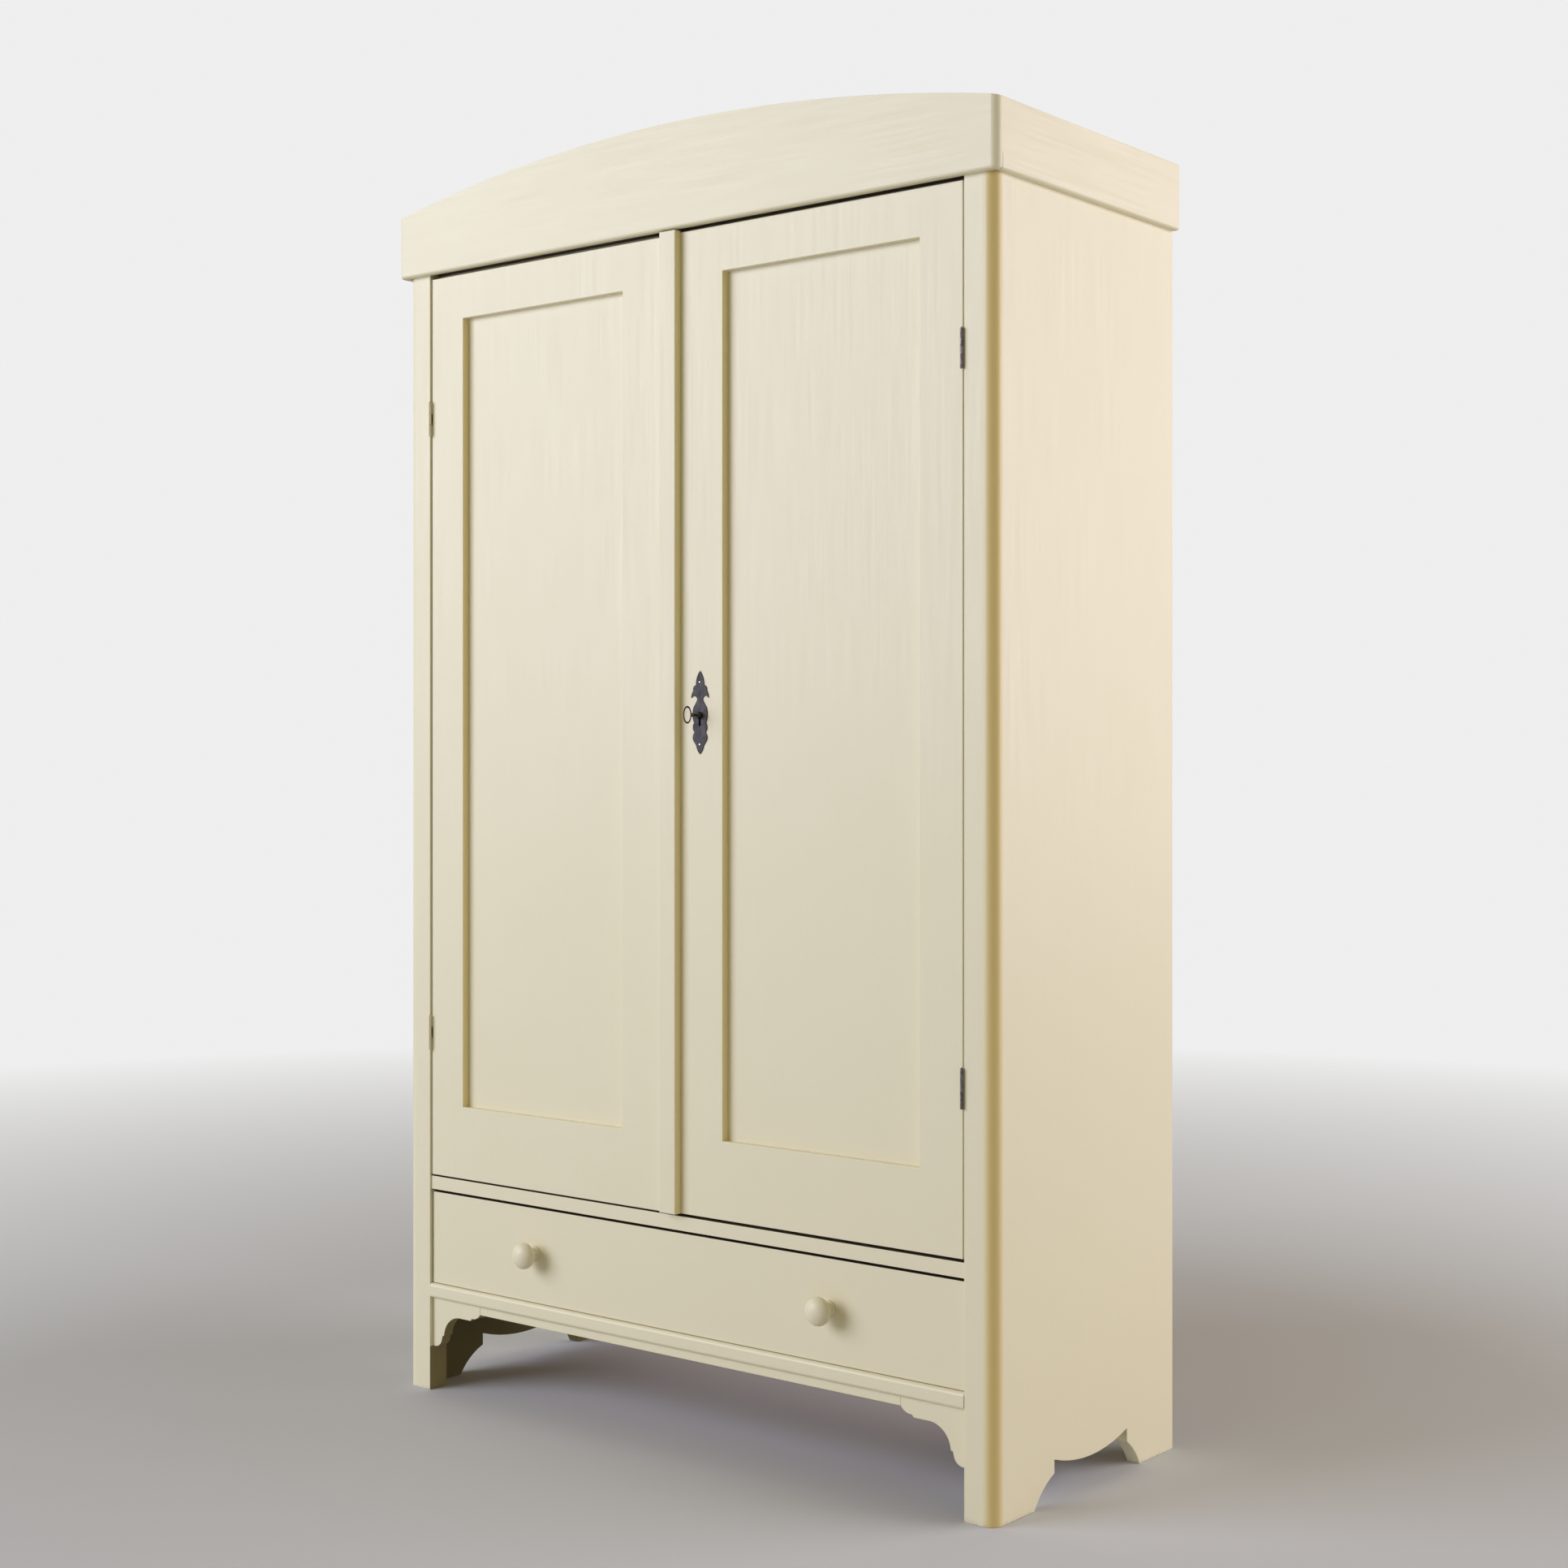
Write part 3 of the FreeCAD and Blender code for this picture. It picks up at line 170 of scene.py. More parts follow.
def brushwork_group():
    """Brush strokes, uneven coats and scuffed feet: a colour, a sheen and a height."""
    group, given, result = effect_group("brushwork", "Coat", "Thin Coat", "Grime")
    clouds = noise_on(group, given["Place"], scale=2.6, detail=3.0, roughness=0.55)
    strokes = noise_on(group, given["Along"], scale=240.0, detail=3.0, roughness=0.6)
    grain = noise_on(group, given["Along"], scale=60.0, detail=5.0, roughness=0.65)
    specks = noise_on(group, given["Place"], scale=700.0, detail=2.0, roughness=0.5)
    scuffs = noise_on(group, given["Place"], scale=160.0, detail=4.0, roughness=0.7)
    cloudy = ranged(group, clouds, (0.35, 0.65), (0.0, 0.3))
    streaky = ranged(group, strokes, (0.40, 0.62), (0.0, 0.12))
    tone = blended(group, cloudy, given["Coat"], given["Thin Coat"])
    tone = blended(group, streaky, tone, given["Thin Coat"])
    near_floor = ranged(group, axes(group, given["Place"])["Z"], (0.0, GRIME_HEIGHT), (0.4, 0.0))
    scuffed = combined(group, "MULTIPLY", near_floor, ranged(group, scuffs, (0.42, 0.62), (0.0, 1.0)))
    group.links.new(blended(group, scuffed, tone, given["Grime"]), result["Colour"])
    group.links.new(ranged(group, strokes, (0.3, 0.7), (0.34, 0.46)), result["Sheen"])
    relief = combined(group, "ADD", combined(group, "MULTIPLY", grain, 0.6), strokes)
    relief = combined(group, "ADD", relief, combined(group, "MULTIPLY", specks, 0.15))
    group.links.new(relief, result["Height"])
    return group


def grain_group():
    """Sawn pine: rings, fibres and age stains give a colour, a sheen and a height."""
    group, given, result = effect_group("pine_grain", "Early Wood", "Late Wood", "Stain")
    bands = noise_on(group, given["Along"], scale=16.0, detail=2.0, roughness=0.4)
    fibres = noise_on(group, given["Along"], scale=380.0, detail=4.0, roughness=0.6)
    stains = noise_on(group, given["Place"], scale=2.4, detail=4.0, roughness=0.6)
    rings = combined(group, "PINGPONG", combined(group, "MULTIPLY", bands, 11.0), 0.5)
    ringed = ranged(group, rings, (0.05, 0.5), (0.0, 1.0))
    wood = blended(group, ringed, given["Late Wood"], given["Early Wood"])
    wood = blended(group, ranged(group, fibres, (0.4, 0.7), (0.0, 0.4)), wood, given["Late Wood"])
    wood = blended(group, ranged(group, stains, (0.4, 0.7), (0.0, 0.5)), wood, given["Stain"])
    group.links.new(wood, result["Colour"])
    group.links.new(ranged(group, fibres, (0.3, 0.7), (0.60, 0.78)), result["Sheen"])
    group.links.new(combined(group, "ADD", fibres, rings), result["Height"])
    return group


BRUSHWORK = brushwork_group()
PINE_GRAIN = grain_group()
PINE_COLOURS = {"Early Wood": (0.56, 0.38, 0.205, 1), "Late Wood": (0.40, 0.235, 0.11, 1),
                "Stain": (0.33, 0.215, 0.12, 1)}


def dressed(tree, shader, place, effect, colours, grain, relief):
    """Puts a shared effect on a shader: grain is an axis and a squeeze, relief a strength and a depth."""
    node = tree.nodes.new("ShaderNodeGroup")
    node.node_tree = effect
    for label, colour in colours.items():
        node.inputs[label].default_value = colour
    tree.links.new(place, node.inputs["Place"])
    tree.links.new(drawn_out(tree, place, *grain), node.inputs["Along"])
    tree.links.new(node.outputs["Colour"], shader.inputs["Base Color"])
    tree.links.new(node.outputs["Sheen"], shader.inputs["Roughness"])
    raised(tree, node.outputs["Height"], shader, *relief)


def paint(name, along, coat=PAINT_CREAM, thin_coat=PAINT_WARM, relief=0.07, shine=0.40):
    """Oil paint whose strokes run along one axis."""
    material, tree, shader, place = blank_material(name)
    dressed(tree, shader, place, BRUSHWORK, {"Coat": coat, "Thin Coat": thin_coat, "Grime": FOOT_GRIME},
            grain=(along, STROKE_SQUEEZE), relief=(relief, STROKE_DEPTH))
    shader.inputs["Specular IOR Level"].default_value = shine
    return material


def marked_paint(name, along, shade, mark):
    """The cream paint with a mark in another shade, as strong as the function mark makes it."""
    material = paint(name, along)
    tree = material.node_tree
    colour = tree.nodes["Principled BSDF"].inputs["Base Color"]
    plain = colour.links[0].from_socket
    place = next(node for node in tree.nodes if node.type == "TEX_COORD").outputs["Object"]
    tree.links.new(blended(tree, mark(tree, place), plain, shade), colour)
    return material


def pine(name, along, cut_from=0.0):
    """Planed old pine, its grain along one axis; cut_from is its place in the log."""
    material, tree, shader, place = blank_material(name)
    log = tree.nodes.new("ShaderNodeMapping")
    log.inputs["Location"].default_value = (cut_from, cut_from * 0.7, cut_from * 1.3)
    tree.links.new(place, log.inputs["Vector"])
    dressed(tree, shader, log.outputs["Vector"], PINE_GRAIN, PINE_COLOURS,
            grain=(along, GRAIN_SQUEEZE), relief=GRAIN_RELIEF)
    return material


RIGHT, LEFT, UP = (1, 0, 0), (-1, 0, 0), (0, 0, 1)
WELD, LEVEL_MATCH = 0.00002, 0.0001
FLAT_ANGLE, HARD_ANGLE = math.radians(0.6), math.radians(28)
FACING, EDGE_ON = 0.7, 0.5


def finished(name, shape, body, nodes, coats, sharp=50.0):
    """A finished mesh put on its body in place of its CAD nodes."""
    for face in shape.faces:
        face.smooth = True
    mesh = bpy.data.meshes.new(name)
    shape.to_mesh(mesh)
    shape.free()
    mesh.set_sharp_from_angle(angle=math.radians(sharp))
    for coat in coats:
        mesh.materials.append(coat)
    piece = bpy.data.objects.new(name, mesh)
    bpy.context.scene.collection.objects.link(piece)
    piece.modifiers.new("even_shading", "WEIGHTED_NORMAL").keep_sharp = True
    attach(piece, body)
    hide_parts(*nodes)
    return piece


def rounded(shape, edges, width, segments=3):
    """Edges of a mesh rounded off."""
    bmesh.ops.bevel(shape, geom=edges, offset=width, offset_type="OFFSET", segments=segments,
                    profile=0.5, affect="EDGES", clamp_overlap=True, material=-1)


def split(shape, place, across):
    """All faces of a mesh cut in two along a plane."""
    everything = shape.verts[:] + shape.edges[:] + shape.faces[:]
    bmesh.ops.bisect_plane(shape, geom=everything, plane_co=place, plane_no=across)


def sanded(node, body, width, coat, joints=(), inside=None):
    """A CAD board taken over with its hard edges sanded round.

    Joints are planes, each an axis and a level, where the next board meets this
    one: edges in them stay sharp, so the paint runs across. Inside is a direction,
    a height, and the finishes of the faces that look that way, above and below it.
    """
    shape = bmesh.new()
    shape.from_mesh(solids[node].data)
    bmesh.ops.remove_doubles(shape, verts=shape.verts, dist=WELD)
    bmesh.ops.dissolve_limit(shape, angle_limit=FLAT_ANGLE, verts=shape.verts, edges=shape.edges)

    def in_joint(edge):
        """Whether an edge lies in the plane of a joint."""
        return any(all(abs(vertex.co["xyz".index(axis)] - level) < LEVEL_MATCH for vertex in edge.verts)
                   for axis, level in joints)

    hard = [edge for edge in shape.edges
            if edge.is_manifold and edge.calc_face_angle(0) > HARD_ANGLE and not in_joint(edge)]
    rounded(shape, hard, width)
    coats = [coat]
    if inside:
        direction, height, above, below = inside
        coats += [above, below]
        split(shape, (0, 0, height), UP)
        for face in shape.faces:
            if face.normal.dot(Vector(direction)) > FACING:
                face.material_index = 1 if face.calc_center_median().z > height else 2
    return finished(node, shape, body, [node], coats)


def recoated(piece, index, chosen):
    """Faces of a finished piece that pass a test get another of its finishes."""
    for face in piece.data.polygons:
        if chosen(face):
            face.material_index = index


PAINT_UPRIGHT = paint("paint_upright", "z")
PINE_UPRIGHT = pine("pine_upright", "z")
# Dull dark olive for the inner faces of the feet: its darkness is painted shade under the cupboard.
FOOT_SHADE_COAT = paint("feet_shade_coat", "z", (0.145, 0.125, 0.052, 1), (0.105, 0.088, 0.036, 1),
                  relief=0.15, shine=0.08)
# Darker olive for the posts' inner faces below the brackets and the brackets' inner and sawn faces: painted
# shade low under the cupboard.
LOW_SHADE_PAINT = paint("low_shade_paint", "z", (0.31, 0.26, 0.12, 1), (0.25, 0.205, 0.09, 1),
                   relief=0.1, shine=0.1)
# A darker, yellower band along the right post's rounded edge: painted shade where that edge turns away from
# both lamps.
CORNER_SHADE_TONE = (0.72, 0.55, 0.19, 1)
SHADE_BAND_FROM, SHADE_BAND_FULL = 0.020, 0.01024
POST_EDGE = 0.0011
SAWN_HEIGHT = 0.06
FLOOR_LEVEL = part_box("floor_board")[0].z
BRACKET_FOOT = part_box("bracket_left")[0].z
post_low, post_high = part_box("post_right")


def shaded_corner_band(tree, place):
    """The round edge of the right post, where a darker, yellower band is painted shade."""
    levels = axes(tree, place)
    outward = combined(tree, "SUBTRACT", levels["X"], levels["Y"])
    corner = post_high.x - post_low.y
    return ranged(tree, outward, (corner - SHADE_BAND_FROM, corner - SHADE_BAND_FULL), (0.0, 0.85))


CORNER_SHADE_PAINT = marked_paint("paint_post_corner_shade", "z", CORNER_SHADE_TONE, shaded_corner_band)
for side, inward, coat in (("left", RIGHT, PAINT_UPRIGHT), ("right", LEFT, CORNER_SHADE_PAINT)):
    sanded("post_" + side, "carcase", POST_EDGE, coat, joints=[("y", post_high.y)],
           inside=(inward, BRACKET_FOOT, PAINT_UPRIGHT, LOW_SHADE_PAINT))
    board = sanded("side_board_" + side, "carcase", POST_EDGE, PAINT_UPRIGHT, joints=[("y", post_high.y)],
                   inside=(inward, FLOOR_LEVEL, PINE_UPRIGHT, FOOT_SHADE_COAT))
    if side == "left":
        # The left board's sawn lower edges also get the dark olive, painted shade under the cupboard.
        recoated(board, 2, lambda face: face.center.z < SAWN_HEIGHT and abs(face.normal.x) < EDGE_ON)


# Rails between the posts, and under the drawer a thin strip that carries a
# scroll-cut bracket at each end. They are painted; the edges that face the doors and
# the drawer across a gap are coloured nearly black, painted shade for the dark gaps.
PAINT_ACROSS = paint("paint_across", "x")
# Nearly black for faces that look into the gaps round the doors and the drawer: painted shade.
GAP_SHADE_EDGE = paint("gap_shade_edge", "x", (0.095, 0.072, 0.048, 1), (0.06, 0.046, 0.032, 1), shine=0.02)
RAIL_EDGE, SCROLL_EDGE = 0.0007, 0.0006
DOWN = (0, 0, -1)


def all_faces(direction, coat):
    """The faces that look one way, all in one finish."""
    return direction, 0, coat, coat


sanded("top_rail", "carcase", RAIL_EDGE, PAINT_ACROSS, inside=all_faces(DOWN, GAP_SHADE_EDGE))
mid_rail = sanded("mid_rail", "carcase", RAIL_EDGE, PAINT_ACROSS, inside=all_faces(DOWN, GAP_SHADE_EDGE))
# The mid rail's top faces, seen through the gap under the doors, get the same painted shade.
recoated(mid_rail, 1, lambda face: face.normal.z > FACING)
sanded("apron_strip", "carcase", SCROLL_EDGE, PAINT_ACROSS)
for bracket, inward in (("bracket_left", RIGHT), ("bracket_right", LEFT)):
    # The brackets' inner and sawn faces get the darker olive, painted shade.
    scroll = sanded(bracket, "carcase", SCROLL_EDGE, PAINT_ACROSS, inside=all_faces(inward, LOW_SHADE_PAINT))
    recoated(scroll, 1, lambda face: abs(face.normal.y) < EDGE_ON)


# Moulding under the drawer: one rail with its two front edges planed to a quarter
# round, so that only a narrow flat is left between them. It is painted.
MOULDING_ROUND = 0.0055
moulding_low, moulding_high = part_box("drawer_moulding")
moulding = bmesh.new()
bmesh.ops.create_cube(moulding, size=1.0)
bmesh.ops.scale(moulding, verts=moulding.verts, vec=moulding_high - moulding_low)
bmesh.ops.translate(moulding, verts=moulding.verts, vec=(moulding_high + moulding_low) / 2)
long_edges = [edge for edge in moulding.edges
              if all(abs(vertex.co.y - moulding_low.y) < LEVEL_MATCH for vertex in edge.verts)
              and abs(edge.verts[0].co.z - edge.verts[1].co.z) < LEVEL_MATCH]
rounded(moulding, long_edges, MOULDING_ROUND, segments=10)
finished("drawer_moulding", moulding, "carcase", ["drawer_moulding"], [PAINT_ACROSS], sharp=35.0)


# Bare boards inside: the back, top, cupboard floor, shelves on battens, and the
# runners, of planed pine that was never painted.
PINE_ACROSS = pine("pine_across", "x")
PINE_DEEP = pine("pine_front_to_back", "y")
LOG_STEP = 1.7


def covered(nodes, coat):
    """CAD solids that keep their shape and get one finish."""
    for node in nodes:
        solids[node].data.materials.clear()
        solids[node].data.materials.append(coat)


for number in (1, 2, 3, 4):
    covered(["back_board_%d" % number], pine("pine_back_board_%d" % number, "z", LOG_STEP * number))
covered(["top_board", "floor_board", "rear_rail", "shelf_1", "shelf_2", "shelf_3"], PINE_ACROSS)
covered(["shelf_battens", "runner_left", "runner_right"], PINE_DEEP)


# Cornice: an arched board across the front with rounded ends, and a plain board
# along each side, nailed on, filled and painted. At the lower end of the corner
# joint the filler has opened to a hairline crack. Blocks are glued in behind it.
CORNICE_EDGE, CORNICE_SIDE_EDGE = 0.0009, 0.0006
CORNICE_BOTTOM, CORNICE_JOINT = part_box("cornice_right")[0].z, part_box("cornice_right")[0].y
CRACK_DARK = (0.10, 0.075, 0.04, 1)
CRACK_INSET, CRACK_LENGTH, CRACK_WANDER = 0.0007, 0.024, 0.0006
CRACK_HALF, CRACK_BLUR = 0.0003, 0.0007


def hairline(tree, place):
    """An upright crack just behind the corner joint, fading out upward."""
    levels = axes(tree, place)
    wobble = noise_on(tree, place, scale=180.0, detail=2.0, roughness=0.5)
    wander = ranged(tree, wobble, (0.0, 1.0), (-CRACK_WANDER, CRACK_WANDER))
    offset = combined(tree, "SUBTRACT", levels["Y"], CORNICE_JOINT + CRACK_INSET)
    offset = combined(tree, "ABSOLUTE", combined(tree, "SUBTRACT", offset, wander), 0.0)
    line = ranged(tree, offset, (CRACK_HALF, CRACK_BLUR), (0.9, 0.0))
    height = ranged(tree, levels["Z"], (CORNICE_BOTTOM, CORNICE_BOTTOM + CRACK_LENGTH), (1.0, 0.0))
    fade = ranged(tree, height, (0.0, 0.35), (0.0, 1.0))
    return combined(tree, "MULTIPLY", line, fade)


CORNICE_PAINT = marked_paint("paint_cornice_side", "y", CRACK_DARK, hairline)
sanded("cornice_front", "carcase", CORNICE_EDGE, PAINT_ACROSS, joints=[("y", CORNICE_JOINT)])
for side in ("left", "right"):
    sanded("cornice_" + side, "carcase", CORNICE_SIDE_EDGE, CORNICE_PAINT, joints=[("y", CORNICE_JOINT)])
covered(["glue_blocks"], PINE_ACROSS)


# Doors: two stiles, rails tenoned between them and a thin panel, filled and painted
# so that each frame reads as one, its head planed to clear the top rail. A cover
# strip on the right door hides the gap, and the keyhole goes through beside it.
DOOR_FACE, DOOR_BACK = (corner.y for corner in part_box("door_right_hinge_stile"))
DOOR_EDGE, STRIP_EDGE = 0.0009, 0.0005
HEAD_PLANED = 0.002
FRAME_PARTS = ("hinge_stile", "meeting_stile", "bottom_rail", "top_rail")
# A deeper yellow for the upright faces that look right, beside the panels and on the cover strip: a painted
# tint of shade.
SHADE_TINT_EDGE = paint("edge_shade_tint", "z", (0.90, 0.79, 0.43, 1), (0.86, 0.74, 0.39, 1), shine=0.3)
BOW_HEIGHT = 0.024
HOLE_RADIUS, SLOT_DROP = 0.0036, 0.015
key_low, key_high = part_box("key")
KEY_X, KEY_LEVEL = (key_low.x + key_high.x) / 2, key_high.z - BOW_HEIGHT / 2


def keyhole(shape):
    """The keyhole cut through a closed frame and walled, wider than the plate's slot."""
    left, right = KEY_X - HOLE_RADIUS, KEY_X + HOLE_RADIUS
    low, high = KEY_LEVEL - SLOT_DROP, KEY_LEVEL + HOLE_RADIUS
    for x in (left, right):
        split(shape, (x, 0, 0), RIGHT)
    for z in (low, high):
        split(shape, (0, 0, z), UP)
    middles = [(face, face.calc_center_median()) for face in shape.faces if abs(face.normal.y) > FACING]
    opening = [face for face, middle in middles if left < middle.x < right and low < middle.z < high]
    rims = list({edge for face in opening for edge in face.edges})
    bmesh.ops.delete(shape, geom=opening, context="FACES_ONLY")
    # The keyhole's walls get the nearly black finish, painted shade inside the hole.
    for face in bmesh.ops.bridge_loops(shape, edges=rims)["faces"]:
        face.material_index = 2
    bmesh.ops.recalc_face_normals(shape, faces=shape.faces)


def thickened(shape, faces, depth):
    """Flat faces made into a closed solid, grown toward the front or the back."""
    grown = bmesh.ops.extrude_face_region(shape, geom=faces)["geom"]
    moved = [item for item in grown if isinstance(item, bmesh.types.BMVert)]
    bmesh.ops.translate(shape, verts=moved, vec=(0, depth, 0))
    bmesh.ops.recalc_face_normals(shape, faces=shape.faces)


def door_frame(side):
    """One frame round its opening, with sanded edges inside and out."""
    parts = ["door_%s_%s" % (side, part) for part in FRAME_PARTS]
    stiles = sorted((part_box(part) for part in parts[:2]), key=lambda corners: corners[0].x)
    (outer_low, inner_low), (inner_high, outer_high) = stiles
    sill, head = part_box(parts[2])[1].z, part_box(parts[3])[0].z
    shape = bmesh.new()
    loops = []
    for x0, x1, z0, z1 in ((outer_low.x, outer_high.x, outer_low.z, outer_high.z - HEAD_PLANED),
                           (inner_low.x, inner_high.x, sill, head)):
        corners = [shape.verts.new((x, DOOR_FACE, z)) for x, z in ((x0, z0), (x1, z0), (x1, z1), (x0, z1))]
        loops += [shape.edges.new((corners[i], corners[(i + 1) % 4])) for i in range(4)]
    thickened(shape, bmesh.ops.bridge_loops(shape, edges=loops)["faces"], DOOR_BACK - DOOR_FACE)
    rounded(shape, [edge for edge in shape.edges if edge.calc_face_angle(0) > HARD_ANGLE], DOOR_EDGE)
    middle_x = (inner_low.x + inner_high.x) / 2
    # The opening's right-facing wall gets the deeper yellow, a painted tint of shade.
    for face in shape.faces:
        if face.normal.x > FACING and face.calc_center_median().x < middle_x:
            face.material_index = 1
    if side == "right":
        keyhole(shape)
    coats = [PAINT_UPRIGHT, SHADE_TINT_EDGE, GAP_SHADE_EDGE]
    finished("door_%s_frame" % side, shape, "door_" + side, parts, coats)


for side in ("left", "right"):
    door_frame(side)
    covered(["door_%s_panel" % side], PAINT_UPRIGHT)
# The cover strip's right-facing side gets the same painted tint of shade.
sanded("cover_strip", "door_right", STRIP_EDGE, PAINT_UPRIGHT, inside=all_faces(RIGHT, SHADE_TINT_EDGE))


# Butt hinges: two on each door, of wrought iron, with three knuckles round a pin
# and countersunk screws. All were painted over; on the right the paint has worn
# off the knuckles.
HINGE_HEIGHT = 0.052
KNUCKLE_RADIUS, KNUCKLE_GAP, BARREL_EDGE = 0.0022, 0.0001, 0.0003
LEAF_THICKNESS, LEAF_GAP, LEAF_STEP = 0.0014, 0.0001, 0.00025
PIN_REACH = 0.0015
PIN_END = [(0, 0), (0, 0.0012), (0.0006, 0.0012), (0.0012, 0.0008), (PIN_REACH, 0)]
SCREW_HEAD = [(0.0001, 0.0028), (-0.00004, 0.0026), (-0.00004, 0.0012), (0.0003, 0.0010), (0.0003, 0)]
SCREW_INSET, SCREW_SHARES = 0.014, (0.14, 0.5, 0.86)


def old_metal(name, dark, worn, rough_low, rough_high, metallic=1.0):
    """Old metal with a patchy skin and fine pits."""
    material, tree, shader, place = blank_material(name)
    patches = noise_on(tree, place, scale=140.0, detail=5.0, roughness=0.65)
    pits = noise_on(tree, place, scale=1300.0, detail=3.0, roughness=0.6)
    skin = ranged(tree, patches, (0.4, 0.7), (0.0, 1.0))
    tree.links.new(blended(tree, skin, dark, worn), shader.inputs["Base Color"])
    tree.links.new(ranged(tree, patches, (0.3, 0.7), (rough_high, rough_low)), shader.inputs["Roughness"])
    shader.inputs["Metallic"].default_value = metallic
    raised(tree, pits, shader, strength=0.3, distance=0.0002)
    return material


BARREL_IRON = old_metal("barrel_iron", (0.085, 0.078, 0.075, 1), (0.30, 0.28, 0.25, 1), 0.35, 0.55, 0.6)


def block(shape, x, y, z, width=0.0002):
    """A bar with broken edges between three pairs of levels."""
    made = bmesh.ops.create_cube(shape, size=1.0)["verts"]
    bmesh.ops.scale(shape, verts=made, vec=(abs(x[1] - x[0]), y[1] - y[0], z[1] - z[0]))
    bmesh.ops.translate(shape, verts=made, vec=((x[0] + x[1]) / 2, (y[0] + y[1]) / 2, (z[0] + z[1]) / 2))
    rounded(shape, list({edge for vertex in made for edge in vertex.link_edges}), width, segments=2)


def turned(shape, profile, centre, axis, steps, coat=0):
    """A closed round form: a half profile of levels and radii spun about an axis."""
    along = Vector(axis)
    out = Vector(RIGHT if axis == UP else UP)
    points = [shape.verts.new(Vector(centre) + along * level + out * radius) for level, radius in profile]
    edges = [shape.edges.new(pair) for pair in zip(points, points[1:])]
    before = set(shape.faces)
    bmesh.ops.spin(shape, geom=points + edges, cent=centre, axis=axis, angle=math.radians(360),
                   steps=steps, use_merge=True)
    corners = {vertex for face in shape.faces if face not in before for vertex in face.verts}
    bmesh.ops.remove_doubles(shape, verts=list(corners), dist=WELD)
    made = [face for face in shape.faces if face not in before]
    bmesh.ops.recalc_face_normals(shape, faces=made)
    for face in made:
        face.material_index = coat


def hinge_half(side, part, barrel_coat):
    """The leaves of one door's two hinges that are screwed to the post or the door."""
    node = "hinges_%s_%s" % (side, part)
    low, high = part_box(node)
    frame_low, frame_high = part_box("hinges_%s_frame" % side)
    axis_x, axis_y = (low.x + high.x) / 2, low.y + KNUCKLE_RADIUS
    away = (1 if side == "right" else -1) * (1 if part == "frame" else -1)
    face_x = axis_x + away * LEAF_GAP
    leaf_x = sorted((face_x, face_x + away * LEAF_THICKNESS))
    third = HINGE_HEIGHT / 3
    length = third - 2 * KNUCKLE_GAP
    barrel = [(0, 0), (0, KNUCKLE_RADIUS - BARREL_EDGE), (BARREL_EDGE, KNUCKLE_RADIUS),
              (length - BARREL_EDGE, KNUCKLE_RADIUS), (length, KNUCKLE_RADIUS - BARREL_EDGE), (length, 0)]
    shape = bmesh.new()
    for bottom in (frame_low.z, frame_high.z - PIN_REACH - HINGE_HEIGHT):
        block(shape, leaf_x, (axis_y + KNUCKLE_RADIUS + LEAF_STEP, high.y), (bottom, bottom + HINGE_HEIGHT))
        for index in ((0, 2) if part == "frame" else (1,)):
            level = bottom + index * third + KNUCKLE_GAP
            turned(shape, barrel, (axis_x, axis_y, level), UP, steps=28, coat=1)
            block(shape, leaf_x, (axis_y, high.y), (level, level + length))
        if part == "frame":
            turned(shape, PIN_END, (axis_x, axis_y, bottom + HINGE_HEIGHT), UP, steps=20, coat=1)
        for share in SCREW_SHARES:
            centre = (face_x, axis_y + SCREW_INSET, bottom + HINGE_HEIGHT * share)
            turned(shape, SCREW_HEAD, centre, (away, 0, 0), steps=16)
    finished(node, shape, "carcase" if part == "frame" else "door_" + side, [node],
             [PAINT_UPRIGHT, barrel_coat], sharp=40.0)


for side, barrel_coat in (("left", PAINT_UPRIGHT), ("right", BARREL_IRON)):
    for part in ("frame", "door"):
        hinge_half(side, part, barrel_coat)


# Keyhole plate on the right door: sheet iron sawn to a leafy outline, its edge
# filed round, and held by two small domed pins that shine.
IRON = old_metal("iron", (0.024, 0.022, 0.025, 1), (0.042, 0.036, 0.036, 1), 0.45, 0.62, 0.35)
PIN_METAL = old_metal("pin_metal", (0.62, 0.60, 0.55, 1), (0.80, 0.78, 0.72, 1), 0.18, 0.32)
PLATE_EDGE, SLOT_HALF = 0.0003, 0.0018
HOLE_ANGLES = range(90, -61, -15)
PIN_RADIUS, PIN_HEIGHT, PIN_RIM = 0.0016, 0.0010, 0.0002
DOME_ANGLES = (18, 36, 54, 72)
FRONT = (0, -1, 0)
# One side of the outline from the lower tip up, in shares of half the width and of
# the height, with the radius, in shares of the height, that bows the run after it.
PLATE_OUTLINE = [(0.00, 0.000, 0.165), (0.42, 0.100, 0), (0.64, 0.140, 0.084), (0.64, 0.262, 0.083),
                 (0.68, 0.375, 0.22), (0.70, 0.575, -0.30), (0.30, 0.660, -0.052), (1.00, 0.675, 0.15),
                 (0.78, 0.765, 0.05), (0.46, 0.830, 0.25), (0.00, 1.000, 0)]
plate_low, plate_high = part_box("keyhole_plate")
PLATE_FACE, PLATE_SIZE = plate_low.y, plate_high - plate_low


def bowed(start, end, radius, steps=8):
    """Points along a run of the outline, bowed outward by a positive radius."""
    run = end - start
    if not radius:
        return [start]
    across = Vector((-run.y, run.x)).normalized() * math.copysign(1, radius)
    middle = start + run / 2 + across * math.sqrt(radius * radius - run.length_squared / 4)
    turn = 2 * math.asin(run.length / 2 / abs(radius)) * math.copysign(1, radius)
    spoke = start - middle
    return [middle + spoke @ Matrix.Rotation(-turn * step / steps, 2) for step in range(steps)]


def plate_point(x, z):
    """A point on the plate's back, from the middle of its lower edge."""
    return Vector(((plate_low.x + plate_high.x) / 2 + x, plate_high.y, plate_low.z + z))


